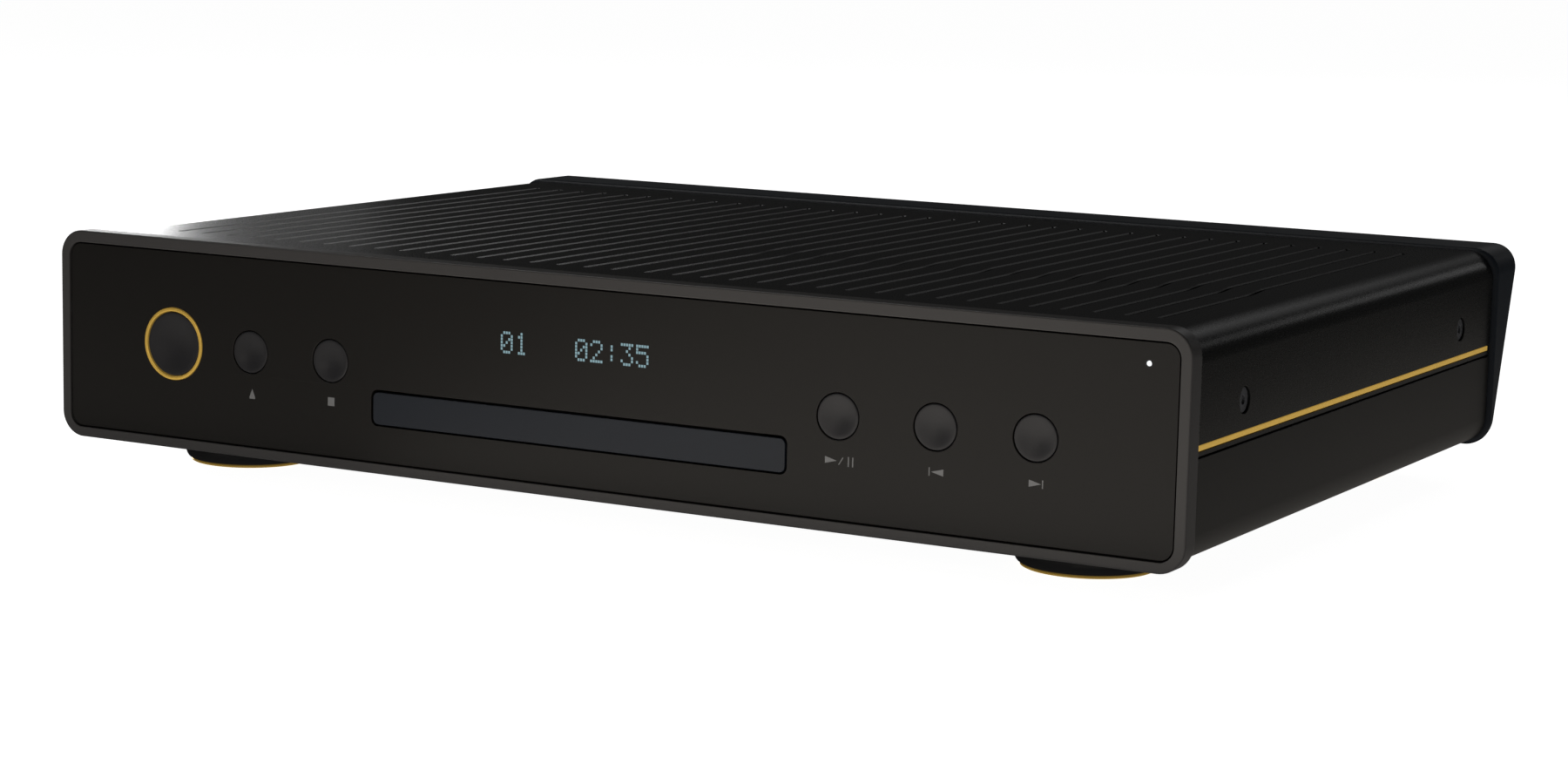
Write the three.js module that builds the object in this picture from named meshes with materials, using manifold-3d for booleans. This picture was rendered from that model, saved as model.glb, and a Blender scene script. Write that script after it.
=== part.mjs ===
// A slim hi-fi CD player: rounded shell, slotted cover, drawer loader, pickup mechanism and feet.
// Units are millimetres. X runs to the right seen from the front, Z is up from the surface that the
// player stands on, and Y runs back from the face of the front bezel. The last group shifts the whole
// player so that its origin is under the middle of its box.

import * as THREE from 'three';
import { mergeVertices } from 'three/addons/utils/BufferGeometryUtils.js';
import Module from 'manifold-3d';

const wasm = await Module();
wasm.setup();

// ---------------------------------------------------------------- driving dimensions

const WIDTH = 431;
const DEPTH = 316;
const HEIGHT = 83.4;
const GAP = 0.3;

// Sides of a turned piece, by its size.
const LARGE = 24;
const MEDIUM = 16;
const SMALL = 10;

const SHELL_BOTTOM = 9.8;
const BEZEL_DEPTH = 7.7;
const BEZEL_CORNER = 9;
const BEZEL_OPENING = { side: 3.7, bottom: 3.5, top: 4.1, corner: 5 };

const FASCIA_FACE_Y = 0.5;
const FASCIA_INSET = 0.5;

const BODY_HALF_WIDTH = 213.7;
const BODY_TOP = 81.8;
const BODY_BOTTOM = 10.6;
const BODY_CORNER = 10;
const BODY_FRONT_Y = BEZEL_DEPTH + GAP;
const REAR_BEZEL_Y = 291;
const REAR_BEZEL = { top: 82.9, bottomRear: 292.6, face: 4.1 };
const BODY_REAR_Y = REAR_BEZEL_Y - GAP;
const COVER_SHEET = 1.6;
const CHASSIS_SHEET = 1.5;
const COVER_EDGE_Z = 43.9;
const SHELF_Z = 43.4;
const FLANGE_X = BODY_HALF_WIDTH - COVER_SHEET - GAP;
const FLANGE_TOP = 66;
const FLOOR_TOP = BODY_BOTTOM + CHASSIS_SHEET;

const STRIP = { bottom: 45.7, top: 47.4, front: 10.5, rear: 289, back: 213.1, face: 213.6 };
const STRIP_GROOVE = { bottom: 45.4, top: 47.7, x: 212.8 };

const SLOT = { count: 36, pitch: 10.78, width: 1.4, front: 32.5, rear: 264.4 };
const JOG = { front: 105, rear: 125, shift: 2.2 };

const SCREW = { z: 56.9, fronts: [47.3, 256], head: 4, hole: 4.3, shank: 1.5, socket: 1.4 };

const BUTTON_Z = 46.5;
const BUTTON_RADIUS = 7.25;
const POWER_X = -165.3;
const POWER_RADIUS = 11.2;
const SMALL_BUTTONS = {
  eject_button: -131.6,
  stop_button: -97.5,
  play_pause_button: 98,
  previous_button: 131.9,
  next_button: 165.6,
};
const POWER_RING = { inner: 11.5, outer: 12.7, front: 0.2, rear: 3.5 };
const LED = { x: 201.4, z: 72.3, radius: 0.8 };
const DISPLAY = { left: -37, right: 38, bottom: 51, top: 69, front: 2.2, rear: 17.6 };
const FRONT_BOARD = { left: -182, right: 206, bottom: 40.6, top: 76, front: 18, thickness: 1.6 };

const DOOR = { halfWidth: 79.5, bottom: 26.7, top: 37.6, corner: 2 };
const DOOR_OPENING = { halfWidth: 80.3, bottom: 26.1, top: 38.5, corner: 2.6 };
const TRAY = { halfWidth: 70, front: 4.8, rear: 190, bottom: 27, top: 38.2 };
const TRAY_FLOOR = { bottom: 30.2, top: 32.2 };
const TRAY_RIM_BOTTOM = 35.2;
const TRAY_RAIL_INNER = 64;
const DISC_Y = 84;
const DISC_RECESS = 60.7;
const SMALL_DISC_RECESS = 40.5;
const TRAY_SLOT_HALF = 21;

const LOADER = { inner: 72.5, outer: 77, front: 21, rear: 198, bottom: FLOOR_TOP + GAP, top: 40.2 };
const DECK = { bottom: 19.5, top: 21.2, frontEnd: 58, rearStart: 186 };

const GEAR_MODULE = 1.5;
const GEAR_TEETH = 12;
const GEAR_RADIUS = GEAR_MODULE * GEAR_TEETH / 2;
const GEAR = { x: -50, y: 36, bottom: 26.9, top: 29.8 };
const BELT = { bottom: 23.1, top: 24.1, large: 13, small: 3, half: 0.45 };
const LOADING_MOTOR_X = -18;

const TRAVERSE = { halfWidth: 46, front: 62, rear: 184, bottom: 23.5, top: 25, pivotY: 182, pivotZ: 24.25 };
const ROD = { x: 25, z: 21, radius: 1.5, front: 93.3, rear: 170.7 };
const FEED_X = 34;
const SLED = { halfWidth: 16, front: 99, rear: 117, bottom: 19, top: 29.5 };
const LENS_Y = 106;

const FOOT = { x: 165.2, front: 44, rear: 255, radius: 23.6, waist: 21.2, bottom: 1.2, top: 10.3 };

const BOARD_Z = 22;
const BOARD_THICKNESS = 1.6;
const POWER_BOARD = { left: -204, right: -96, front: 165, rear: 284 };
const MAIN_BOARD = { left: 92, right: 204, front: 120, rear: 284 };
const POST_INSET = 6;
const TRANSFORMER = { x: -150, y: 98, inner: 15, outer: 40, bottom: 12.5, top: 46, round: 6 };

const PANEL = { halfWidth: 209.8, bottom: 12.5, top: 79.8, corner: 8, front: 289, rear: 290.5 };
const INLET = { x: -170, z: 42, halfWidth: 13.3, halfHeight: 10 };
const SOCKET_Z = 40;
const SOCKET_REAR = 299;
const ANALOGUE_XS = [156, 180];
const COAX_X = 128;
const OPTICAL_X = 103;

// ---------------------------------------------------------------- solid helpers

/** Merge shared vertices and drop collapsed triangles, leaving a clean indexed mesh. */
function weld(geometry) {
  const bare = geometry.clone();
  bare.deleteAttribute('normal');
  bare.deleteAttribute('uv');
  const merged = mergeVertices(bare, 1e-4);
  const index = merged.index.array;
  const kept = [];
  for (let i = 0; i < index.length; i += 3) {
    const [a, b, c] = [index[i], index[i + 1], index[i + 2]];
    if (a !== b && b !== c && c !== a) kept.push(a, b, c);
  }
  merged.setIndex(kept);
  return merged;
}

function toManifold(geometry) {
  const mesh = weld(geometry);
  return new wasm.Manifold(new wasm.Mesh({
    numProp: 3,
    vertProperties: new Float32Array(mesh.attributes.position.array),
    triVerts: new Uint32Array(mesh.index.array),
  }));
}

function toGeometry(manifold) {
  const mesh = manifold.getMesh();
  const geometry = new THREE.BufferGeometry();
  geometry.setAttribute('position', new THREE.BufferAttribute(new Float32Array(mesh.vertProperties), 3));
  geometry.setIndex(new THREE.BufferAttribute(new Uint32Array(mesh.triVerts), 1));
  geometry.computeVertexNormals();
  return geometry;
}

/** Join the first list of geometries and cut the second list away. */
function carve(joined, removed = []) {
  let solid = toManifold(joined[0]);
  for (const geometry of joined.slice(1)) {
    solid = solid.add(toManifold(geometry));
  }
  for (const geometry of removed) {
    solid = solid.subtract(toManifold(geometry));
  }
  return toGeometry(solid);
}

// ---------------------------------------------------------------- outline helpers

function arcPoints(x, y, radius, start, end, steps) {
  const points = [];
  for (let i = 0; i <= steps; i += 1) {
    const angle = start + (end - start) * i / steps;
    points.push(new THREE.Vector2(x + radius * Math.cos(angle), y + radius * Math.sin(angle)));
  }
  return points;
}

function circlePoints(x, y, radius, steps) {
  return arcPoints(x, y, radius, 0, Math.PI * 2, steps).slice(0, -1);
}

/** Anticlockwise rounded rectangle between left/right and bottom/top. */
function roundedPoints(left, right, bottom, top, radius, steps = 4) {
  const quarter = Math.PI / 2;
  return [
    ...arcPoints(right - radius, bottom + radius, radius, -quarter, 0, steps),
    ...arcPoints(right - radius, top - radius, radius, 0, quarter, steps),
    ...arcPoints(left + radius, top - radius, radius, quarter, 2 * quarter, steps),
    ...arcPoints(left + radius, bottom + radius, radius, 2 * quarter, 3 * quarter, steps),
  ];
}

function shapeOf(points, holes = []) {
  const shape = new THREE.Shape(points);
  for (const hole of holes) {
    shape.holes.push(new THREE.Path(hole));
  }
  return shape;
}

function pairs(list) {
  return list.map(([x, y]) => new THREE.Vector2(x, y));
}

/** Bevel options that eat into the outline instead of growing it. */
function softEdge(size, segments = 1) {
  return {
    bevelEnabled: true,
    bevelSize: size,
    bevelOffset: -size,
    bevelThickness: size,
    bevelSegments: segments,
  };
}

function extrude(shape, length, edge) {
  const bevel = edge ?? { bevelEnabled: false };
  const inset = edge ? edge.bevelThickness : 0;
  const geometry = new THREE.ExtrudeGeometry(shape, { depth: length - 2 * inset, steps: 1, ...bevel });
  geometry.translate(0, 0, inset);
  return geometry;
}

/** An outline drawn in X and Z, pulled along Y. */
function alongY(shape, front, rear, edge) {
  const geometry = extrude(shape, rear - front, edge);
  geometry.rotateX(Math.PI / 2);
  geometry.translate(0, rear, 0);
  return geometry;
}

/** An outline drawn in X and Y, pulled up along Z. */
function alongZ(shape, bottom, top, edge) {
  const geometry = extrude(shape, top - bottom, edge);
  geometry.translate(0, 0, bottom);
  return geometry;
}

/** An outline drawn in Y and Z, pulled along X. */
function alongX(shape, left, right) {
  const geometry = extrude(shape, right - left);
  const axes = new THREE.Matrix4().makeBasis(
    new THREE.Vector3(0, 1, 0),
    new THREE.Vector3(0, 0, 1),
    new THREE.Vector3(1, 0, 0),
  );
  geometry.applyMatrix4(axes);
  geometry.translate(left, 0, 0);
  return geometry;
}

function block(left, right, front, rear, bottom, top) {
  const geometry = new THREE.BoxGeometry(right - left, rear - front, top - bottom);
  geometry.translate((left + right) / 2, (front + rear) / 2, (bottom + top) / 2);
  return geometry;
}

/** Turn a closed or axis-to-axis profile of [radius, height] about a vertical axis. */
function turnedZ(profile, x, y, steps) {
  const geometry = new THREE.LatheGeometry(pairs(profile), steps);
  geometry.rotateX(Math.PI / 2);
  geometry.translate(x, y, 0);
  return geometry;
}

/** Turn a profile of [radius, y] about an axis that runs front to back. */
function turnedY(profile, x, z, steps) {
  const geometry = new THREE.LatheGeometry(pairs(profile), steps);
  geometry.translate(x, 0, z);
  return geometry;
}

function rodX(left, right, y, z, radius, steps) {
  return alongX(shapeOf(circlePoints(y, z, radius, steps)), left, right);
}

function rodY(front, rear, x, z, radius, steps) {
  return alongY(shapeOf(circlePoints(x, z, radius, steps)), front, rear);
}

function rodZ(bottom, top, x, y, radius, steps) {
  return alongZ(shapeOf(circlePoints(x, y, radius, steps)), bottom, top);
}

// ---------------------------------------------------------------- scene helpers

const player = new THREE.Group();

function addPart(name, geometry, look) {
  const material = new THREE.MeshStandardMaterial({ ...look, flatShading: true });
  const mesh = new THREE.Mesh(geometry, material);
  mesh.name = name;
  player.add(mesh);
}

const LOOKS = {
  greyPaint: { color: 0x3a3a39, roughness: 0.55, metalness: 0.3 },
  fascia: { color: 0x38372f, roughness: 0.5, metalness: 0.4 },
  rearPlastic: { color: 0x23282c, roughness: 0.6, metalness: 0 },
  gold: { color: 0xc9a24a, roughness: 0.3, metalness: 1 },
  button: { color: 0x4a4a4c, roughness: 0.35, metalness: 0.7 },
  door: { color: 0x2b2e34, roughness: 0.45, metalness: 0.3 },
  blackPlastic: { color: 0x17181a, roughness: 0.6, metalness: 0 },
  rubber: { color: 0x111111, roughness: 0.9, metalness: 0 },
  zinc: { color: 0xb9bcc0, roughness: 0.4, metalness: 1 },
  steel: { color: 0xd0d3d6, roughness: 0.25, metalness: 1 },
  board: { color: 0x1f5b3a, roughness: 0.6, metalness: 0 },
  display: { color: 0x11191c, roughness: 0.2, metalness: 0 },
  light: { color: 0xf4f7ff, roughness: 0.3, metalness: 0 },
  whitePlastic: { color: 0xe4e2da, roughness: 0.5, metalness: 0 },
  winding: { color: 0x8a3f24, roughness: 0.5, metalness: 0.3 },
  lens: { color: 0x9fb8d8, roughness: 0.05, metalness: 0 },
};

// ---------------------------------------------------------------- outer shell

/** Outline of the front bezel's opening, or of the plate that fills it when inset. */
function openingOutline(inset) {
  const { side, bottom, top, corner } = BEZEL_OPENING;
  const half = WIDTH / 2 - side - inset;
  return roundedPoints(-half, half, SHELL_BOTTOM + bottom + inset, HEIGHT - top - inset, corner - inset, 5);
}

function addFrontBezel() {
  const half = WIDTH / 2;
  const outline = roundedPoints(-half, half, SHELL_BOTTOM, HEIGHT, BEZEL_CORNER, 5);
  const ring = shapeOf(outline, [openingOutline(0)]);
  addPart('front_bezel', alongY(ring, 0, BEZEL_DEPTH, softEdge(0.4)), LOOKS.greyPaint);
}

/** The slanted ring round the back: its rear face leans, so that the top overhangs the sockets. */
function addRearBezel() {
  const { top, bottomRear, face } = REAR_BEZEL;
  const lean = (DEPTH - bottomRear) / (top - SHELL_BOTTOM);
  const margin = 5;
  const low = SHELL_BOTTOM - margin;
  const high = top + margin;
  const behind = pairs([
    [bottomRear - margin * lean, low],
    [DEPTH + 3 * margin, low],
    [DEPTH + 3 * margin, high],
    [DEPTH + margin * lean, high],
  ]);
  const outline = (inset) => roundedPoints(
    -WIDTH / 2 + inset, WIDTH / 2 - inset, SHELL_BOTTOM + inset, top - inset, BEZEL_CORNER - inset, 5,
  );
  const ring = alongY(shapeOf(outline(0), [outline(face)]), REAR_BEZEL_Y, DEPTH);
  const cut = alongX(shapeOf(behind), -WIDTH, WIDTH);
  addPart('rear_bezel', carve([ring], [cut]), LOOKS.rearPlastic);
}

/** Cutter for one button hole, with the chamfer that catches the light. */
function buttonHole(x, radius, chamfer) {
  return turnedY([
    [0, FASCIA_FACE_Y - 1],
    [radius + chamfer, FASCIA_FACE_Y - 1],
    [radius + chamfer, FASCIA_FACE_Y],
    [radius, FASCIA_FACE_Y + chamfer],
    [radius, BEZEL_DEPTH + 1],
    [0, BEZEL_DEPTH + 1],
  ], x, BUTTON_Z, MEDIUM);
}

function addFascia() {
  const outline = openingOutline(FASCIA_INSET);
  const { halfWidth, bottom, top, corner } = DOOR_OPENING;
  const doorHole = roundedPoints(-halfWidth, halfWidth, bottom, top, corner, 3);
  const ledHole = circlePoints(LED.x, LED.z, LED.radius + GAP, SMALL);
  const plate = alongY(shapeOf(outline, [doorHole, ledHole]), FASCIA_FACE_Y, BEZEL_DEPTH);
  const ringSeat = turnedY([
    [0, FASCIA_FACE_Y - 1],
    [POWER_RING.outer + GAP, FASCIA_FACE_Y - 1],
    [POWER_RING.outer + GAP, POWER_RING.rear + GAP],
    [POWER_RADIUS + GAP, POWER_RING.rear + GAP],
    [POWER_RADIUS + GAP, BEZEL_DEPTH + 1],
    [0, BEZEL_DEPTH + 1],
  ], POWER_X, BUTTON_Z, LARGE);
  const displayPocket = block(
    DISPLAY.left - 1, DISPLAY.right + 1, DISPLAY.front - GAP, BEZEL_DEPTH + 1,
    DISPLAY.bottom - 1, DISPLAY.top + 1,
  );
  const holes = Object.values(SMALL_BUTTONS).map((x) => buttonHole(x, BUTTON_RADIUS + GAP, 0.35));
  addPart('fascia_plate', carve([plate], [ringSeat, displayPocket, ...holes]), LOOKS.fascia);
}

/** One vent slot of the cover; slots on the right side step sideways part of the way back. */
function ventSlot(index) {
  const x = (index - (SLOT.count - 1) / 2) * SLOT.pitch;
  const half = SLOT.width / 2;
  const jog = index < SLOT.count / 2 ? 0 : JOG.shift;
  const centre = jog === 0
    ? [[x, SLOT.front], [x, SLOT.rear]]
    : [[x + jog, SLOT.front], [x + jog, JOG.front], [x, JOG.rear], [x, SLOT.rear]];
  const outline = [
    ...centre.map(([px, py]) => [px + half, py]),
    ...centre.map(([px, py]) => [px - half, py]).reverse(),
  ];
  return alongZ(shapeOf(pairs(outline)), BODY_TOP - COVER_SHEET - 1, BODY_TOP + 1);
}

function addTopCover() {
  const quarter = Math.PI / 2;
  const innerHalf = BODY_HALF_WIDTH - COVER_SHEET;
  const arcX = BODY_HALF_WIDTH - BODY_CORNER;
  const arcZ = BODY_TOP - BODY_CORNER;
  const innerRadius = BODY_CORNER - COVER_SHEET;
  const { bottom, top, x: grooveX } = STRIP_GROOVE;
  const sideUp = pairs([
    [BODY_HALF_WIDTH, COVER_EDGE_Z], [BODY_HALF_WIDTH, bottom], [grooveX, bottom],
    [grooveX, top], [BODY_HALF_WIDTH, top],
  ]);
  const outline = [
    ...sideUp,
    ...arcPoints(arcX, arcZ, BODY_CORNER, 0, quarter, 6),
    ...arcPoints(-arcX, arcZ, BODY_CORNER, quarter, 2 * quarter, 6),
    ...sideUp.map((point) => new THREE.Vector2(-point.x, point.y)).reverse(),
    new THREE.Vector2(-innerHalf, COVER_EDGE_Z),
    ...arcPoints(-arcX, arcZ, innerRadius, 2 * quarter, quarter, 6),
    ...arcPoints(arcX, arcZ, innerRadius, quarter, 0, 6),
    new THREE.Vector2(innerHalf, COVER_EDGE_Z),
  ];
  const cutters = [];
  for (let i = 0; i < SLOT.count; i += 1) {
    cutters.push(ventSlot(i));
  }
  for (const y of SCREW.fronts) {
    cutters.push(rodX(-WIDTH / 2, WIDTH / 2, y, SCREW.z, SCREW.hole, MEDIUM));
  }
  const shell = alongY(shapeOf(outline), BODY_FRONT_Y, BODY_REAR_Y);
  addPart('top_cover', carve([shell], cutters), LOOKS.greyPaint);
}

/** Folded steel tray: floor, rounded lower edges, stepped side flanges, front wall and board posts. */
function addChassis() {
  const quarter = Math.PI / 2;
  const innerHalf = BODY_HALF_WIDTH - CHASSIS_SHEET;
  const flangeInner = FLANGE_X - CHASSIS_SHEET;
  const arcX = BODY_HALF_WIDTH - BODY_CORNER;
  const arcZ = BODY_BOTTOM + BODY_CORNER;
  const innerRadius = BODY_CORNER - CHASSIS_SHEET;
  const outline = [
    new THREE.Vector2(-FLANGE_X, FLANGE_TOP),
    new THREE.Vector2(-FLANGE_X, SHELF_Z),
    new THREE.Vector2(-BODY_HALF_WIDTH, SHELF_Z),
    ...arcPoints(-arcX, arcZ, BODY_CORNER, 2 * quarter, 3 * quarter, 6),
    ...arcPoints(arcX, arcZ, BODY_CORNER, -quarter, 0, 6),
    new THREE.Vector2(BODY_HALF_WIDTH, SHELF_Z),
    new THREE.Vector2(FLANGE_X, SHELF_Z),
    new THREE.Vector2(FLANGE_X, FLANGE_TOP),
    new THREE.Vector2(flangeInner, FLANGE_TOP),
    new THREE.Vector2(flangeInner, SHELF_Z - CHASSIS_SHEET),
    new THREE.Vector2(innerHalf, SHELF_Z - CHASSIS_SHEET),
    ...arcPoints(arcX, arcZ, innerRadius, 0, -quarter, 6),
    ...arcPoints(-arcX, arcZ, innerRadius, 3 * quarter, 2 * quarter, 6),
    new THREE.Vector2(-innerHalf, SHELF_Z - CHASSIS_SHEET),
    new THREE.Vector2(-flangeInner, SHELF_Z - CHASSIS_SHEET),
    new THREE.Vector2(-flangeInner, FLANGE_TOP),
  ];
  const wallHalf = FLANGE_X - GAP;
  const wallHoles = [
    roundedPoints(
      -DOOR_OPENING.halfWidth - 1.6, DOOR_OPENING.halfWidth + 1.6,
      DOOR_OPENING.bottom - 1.1, DOOR_OPENING.top + 1.7, 2, 1,
    ),
    roundedPoints(DISPLAY.left - 2, DISPLAY.right + 2, DISPLAY.bottom - 2, DISPLAY.top + 1.5, 1, 1),
    circlePoints(LED.x, LED.z, LED.radius + 1, SMALL),
    circlePoints(POWER_X, BUTTON_Z, POWER_RADIUS + 1.6, MEDIUM),
    ...Object.values(SMALL_BUTTONS).map((x) => circlePoints(x, BUTTON_Z, BUTTON_RADIUS + 1.3, MEDIUM)),
  ];
  const wallTop = BODY_TOP - COVER_SHEET - 0.4;
  const wallOutline = roundedPoints(-wallHalf, wallHalf, BODY_BOTTOM + 0.4, wallTop, 9, 4);
  const joined = [
    alongY(shapeOf(outline), BODY_FRONT_Y, BODY_REAR_Y),
    alongY(shapeOf(wallOutline, wallHoles), BODY_FRONT_Y, BODY_FRONT_Y + CHASSIS_SHEET),
  ];
  for (const board of [POWER_BOARD, MAIN_BOARD]) {
    for (const x of [board.left + POST_INSET, board.right - POST_INSET]) {
      for (const y of [board.front + POST_INSET, board.rear - POST_INSET]) {
        joined.push(rodZ(FLOOR_TOP - 0.5, BOARD_Z - GAP, x, y, 3.5, SMALL));
      }
    }
  }
  const cutters = [];
  for (const y of SCREW.fronts) {
    cutters.push(rodX(-FLANGE_X - 0.2, -FLANGE_X + 3, y, SCREW.z, SCREW.shank + GAP, SMALL));
    cutters.push(rodX(FLANGE_X - 3, FLANGE_X + 0.2, y, SCREW.z, SCREW.shank + GAP, SMALL));
  }
  const floorVents = { count: 6, start: 76, pitch: 10, halfWidth: 1.5, length: 30 };
  for (let i = 0; i < floorVents.count; i += 1) {
    const y = floorVents.start + i * floorVents.pitch;
    for (const x of [-190, 110]) {
      cutters.push(block(
        x - 1, x + floorVents.length, y, y + 2 * floorVents.halfWidth, BODY_BOTTOM - 1, FLOOR_TOP + 1,
      ));
    }
  }
  addPart('chassis', carve(joined, cutters), LOOKS.greyPaint);
}

function addAccentStrips() {
  for (const [side, sign] of [['left', -1], ['right', 1]]) {
    const edges = [sign * STRIP.back, sign * STRIP.face].sort((a, b) => a - b);
    const section = shapeOf(roundedPoints(edges[0], edges[1], STRIP.bottom, STRIP.top, 0.1, 1));
    addPart(`accent_strip_${side}`, alongY(section, STRIP.front, STRIP.rear), LOOKS.gold);
  }
}

/** Socket-head screw that holds the cover side to the chassis flange. */
function addCoverScrews() {
  const headInner = FLANGE_X + GAP;
  const headOuter = headInner + 1;
  for (const [side, sign] of [['left', -1], ['right', 1]]) {
    for (const [place, y] of [['front', SCREW.fronts[0]], ['rear', SCREW.fronts[1]]]) {
      const head = rodX(headInner, headOuter, y, SCREW.z, SCREW.head, MEDIUM);
      const shank = rodX(headInner - 8, headInner + 0.2, y, SCREW.z, SCREW.shank, SMALL);
      const socket = rodX(headOuter - 0.6, headOuter + 1, y, SCREW.z, SCREW.socket, 6);
      const screw = carve([head, shank], [socket]);
      if (sign < 0) {
        screw.rotateZ(Math.PI);
        screw.translate(0, 2 * y, 0);
      }
      addPart(`cover_screw_${side}_${place}`, screw, LOOKS.zinc);
    }
  }
}

function addFeet() {
  const steps = LARGE;
  for (const [place, y] of [['front', FOOT.front], ['rear', FOOT.rear]]) {
    for (const [side, x] of [['left', -FOOT.x], ['right', FOOT.x]]) {
      const body = turnedZ([
        [0, FOOT.bottom],
        [FOOT.waist, FOOT.bottom],
        [FOOT.radius - 0.8, FOOT.bottom + 1],
        [FOOT.radius, FOOT.bottom + 3.2],
        [FOOT.radius, FOOT.top - 1],
        [FOOT.radius - 1, FOOT.top],
        [0, FOOT.top],
      ], x, y, steps);
      const ring = turnedZ([
        [FOOT.waist - 3.4, 0.2],
        [FOOT.waist, 0.2],
        [FOOT.waist + 0.4, FOOT.bottom - GAP],
        [FOOT.waist - 3.4, FOOT.bottom - GAP],
        [FOOT.waist - 3.4, 0.2],
      ], x, y, steps);
      const pad = rodZ(0, FOOT.bottom - GAP, x, y, FOOT.waist - 3.8, MEDIUM);
      addPart(`foot_${place}_${side}`, body, LOOKS.blackPlastic);
      addPart(`foot_ring_${place}_${side}`, ring, LOOKS.gold);
      addPart(`foot_pad_${place}_${side}`, pad, LOOKS.rubber);
    }
  }
}

// ---------------------------------------------------------------- front controls

/** Dished button cap, its retaining lip behind the fascia, and the stem that reaches the switch. */
function buttonBody(x, radius) {
  const rim = FASCIA_FACE_Y + 0.3;
  const lip = BEZEL_DEPTH + GAP;
  return turnedY([
    [0, rim + 0.9],
    [radius * 0.6, rim + 0.6],
    [radius - 0.7, rim],
    [radius - 0.2, rim],
    [radius, rim + 0.3],
    [radius, lip],
    [radius + 0.9, lip],
    [radius + 0.9, lip + 1],
    [2.2, lip + 1],
    [2.2, 13.2],
    [0, 13.2],
  ], x, BUTTON_Z, MEDIUM);
}

function addButtons() {
  const { inner, outer, front, rear } = POWER_RING;
  const ring = turnedY([
    [inner, front + 0.3],
    [inner + 0.3, front],
    [outer - 0.3, front],
    [outer, front + 0.3],
    [outer, rear],
    [inner, rear],
    [inner, front + 0.3],
  ], POWER_X, BUTTON_Z, LARGE);
  addPart('power_ring', ring, LOOKS.gold);
  addPart('power_button', buttonBody(POWER_X, POWER_RADIUS), LOOKS.button);
  for (const [name, x] of Object.entries(SMALL_BUTTONS)) {
    addPart(name, buttonBody(x, BUTTON_RADIUS), LOOKS.button);
  }
}

function addFrontElectronics() {
  const { left, right, bottom, top, front, thickness } = FRONT_BOARD;
  const switches = [POWER_X, ...Object.values(SMALL_BUTTONS)].map((x) => (
    block(x - 3, x + 3, 14.6, front + 0.3, BUTTON_Z - 3, BUTTON_Z + 3)
  ));
  const sheet = block(left, right, front, front + thickness, bottom, top);
  addPart('front_board', carve([sheet, ...switches]), LOOKS.board);
  const lightPipe = rodY(FASCIA_FACE_Y - 0.1, front - GAP, LED.x, LED.z, LED.radius, SMALL);
  addPart('led_light_pipe', lightPipe, LOOKS.light);
  addPart('display_module', block(
    DISPLAY.left, DISPLAY.right, DISPLAY.front, DISPLAY.rear, DISPLAY.bottom, DISPLAY.top,
  ), LOOKS.display);
}

// ---------------------------------------------------------------- disc drawer

/** Straight-sided tooth flank offsets at the root and the tip of a module-sized tooth. */
const TOOTH = {
  tip: 1.1,
  root: 1.5,
  tipHalf: 0.55,
  rootHalf: 1.4,
  pitch: Math.PI * GEAR_MODULE,
};

function rackOutline(rootX, front, rear) {
  const points = [[rootX - 3.5, front], [rootX, front]];
  const pitchX = rootX + TOOTH.root;
  const first = Math.ceil((front + TOOTH.pitch - GEAR.y) / TOOTH.pitch);
  for (let y = GEAR.y + first * TOOTH.pitch; y < rear - TOOTH.pitch; y += TOOTH.pitch) {
    points.push([rootX, y - TOOTH.rootHalf], [pitchX + TOOTH.tip, y - TOOTH.tipHalf]);
    points.push([pitchX + TOOTH.tip, y + TOOTH.tipHalf], [rootX, y + TOOTH.rootHalf]);
  }
  points.push([rootX, rear], [rootX - 3.5, rear]);
  return shapeOf(pairs(points));
}

function gearOutline(bore) {
  const points = [];
  const tipRadius = GEAR_RADIUS + TOOTH.tip;
  const rootRadius = GEAR_RADIUS - TOOTH.root;
  for (let i = 0; i < GEAR_TEETH; i += 1) {
    const angle = Math.PI * 2 * (i + 0.5) / GEAR_TEETH;
    const corners = [
      [rootRadius, -TOOTH.rootHalf],
      [tipRadius, -TOOTH.tipHalf],
      [tipRadius, TOOTH.tipHalf],
      [rootRadius, TOOTH.rootHalf],
    ];
    for (const [along, across] of corners) {
      const cos = Math.cos(angle);
      const sin = Math.sin(angle);
      points.push(new THREE.Vector2(
        GEAR.x + along * cos - across * sin,
        GEAR.y + along * sin + across * cos,
      ));
    }
  }
  return shapeOf(points, [circlePoints(GEAR.x, GEAR.y, bore, SMALL)]);
}

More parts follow.
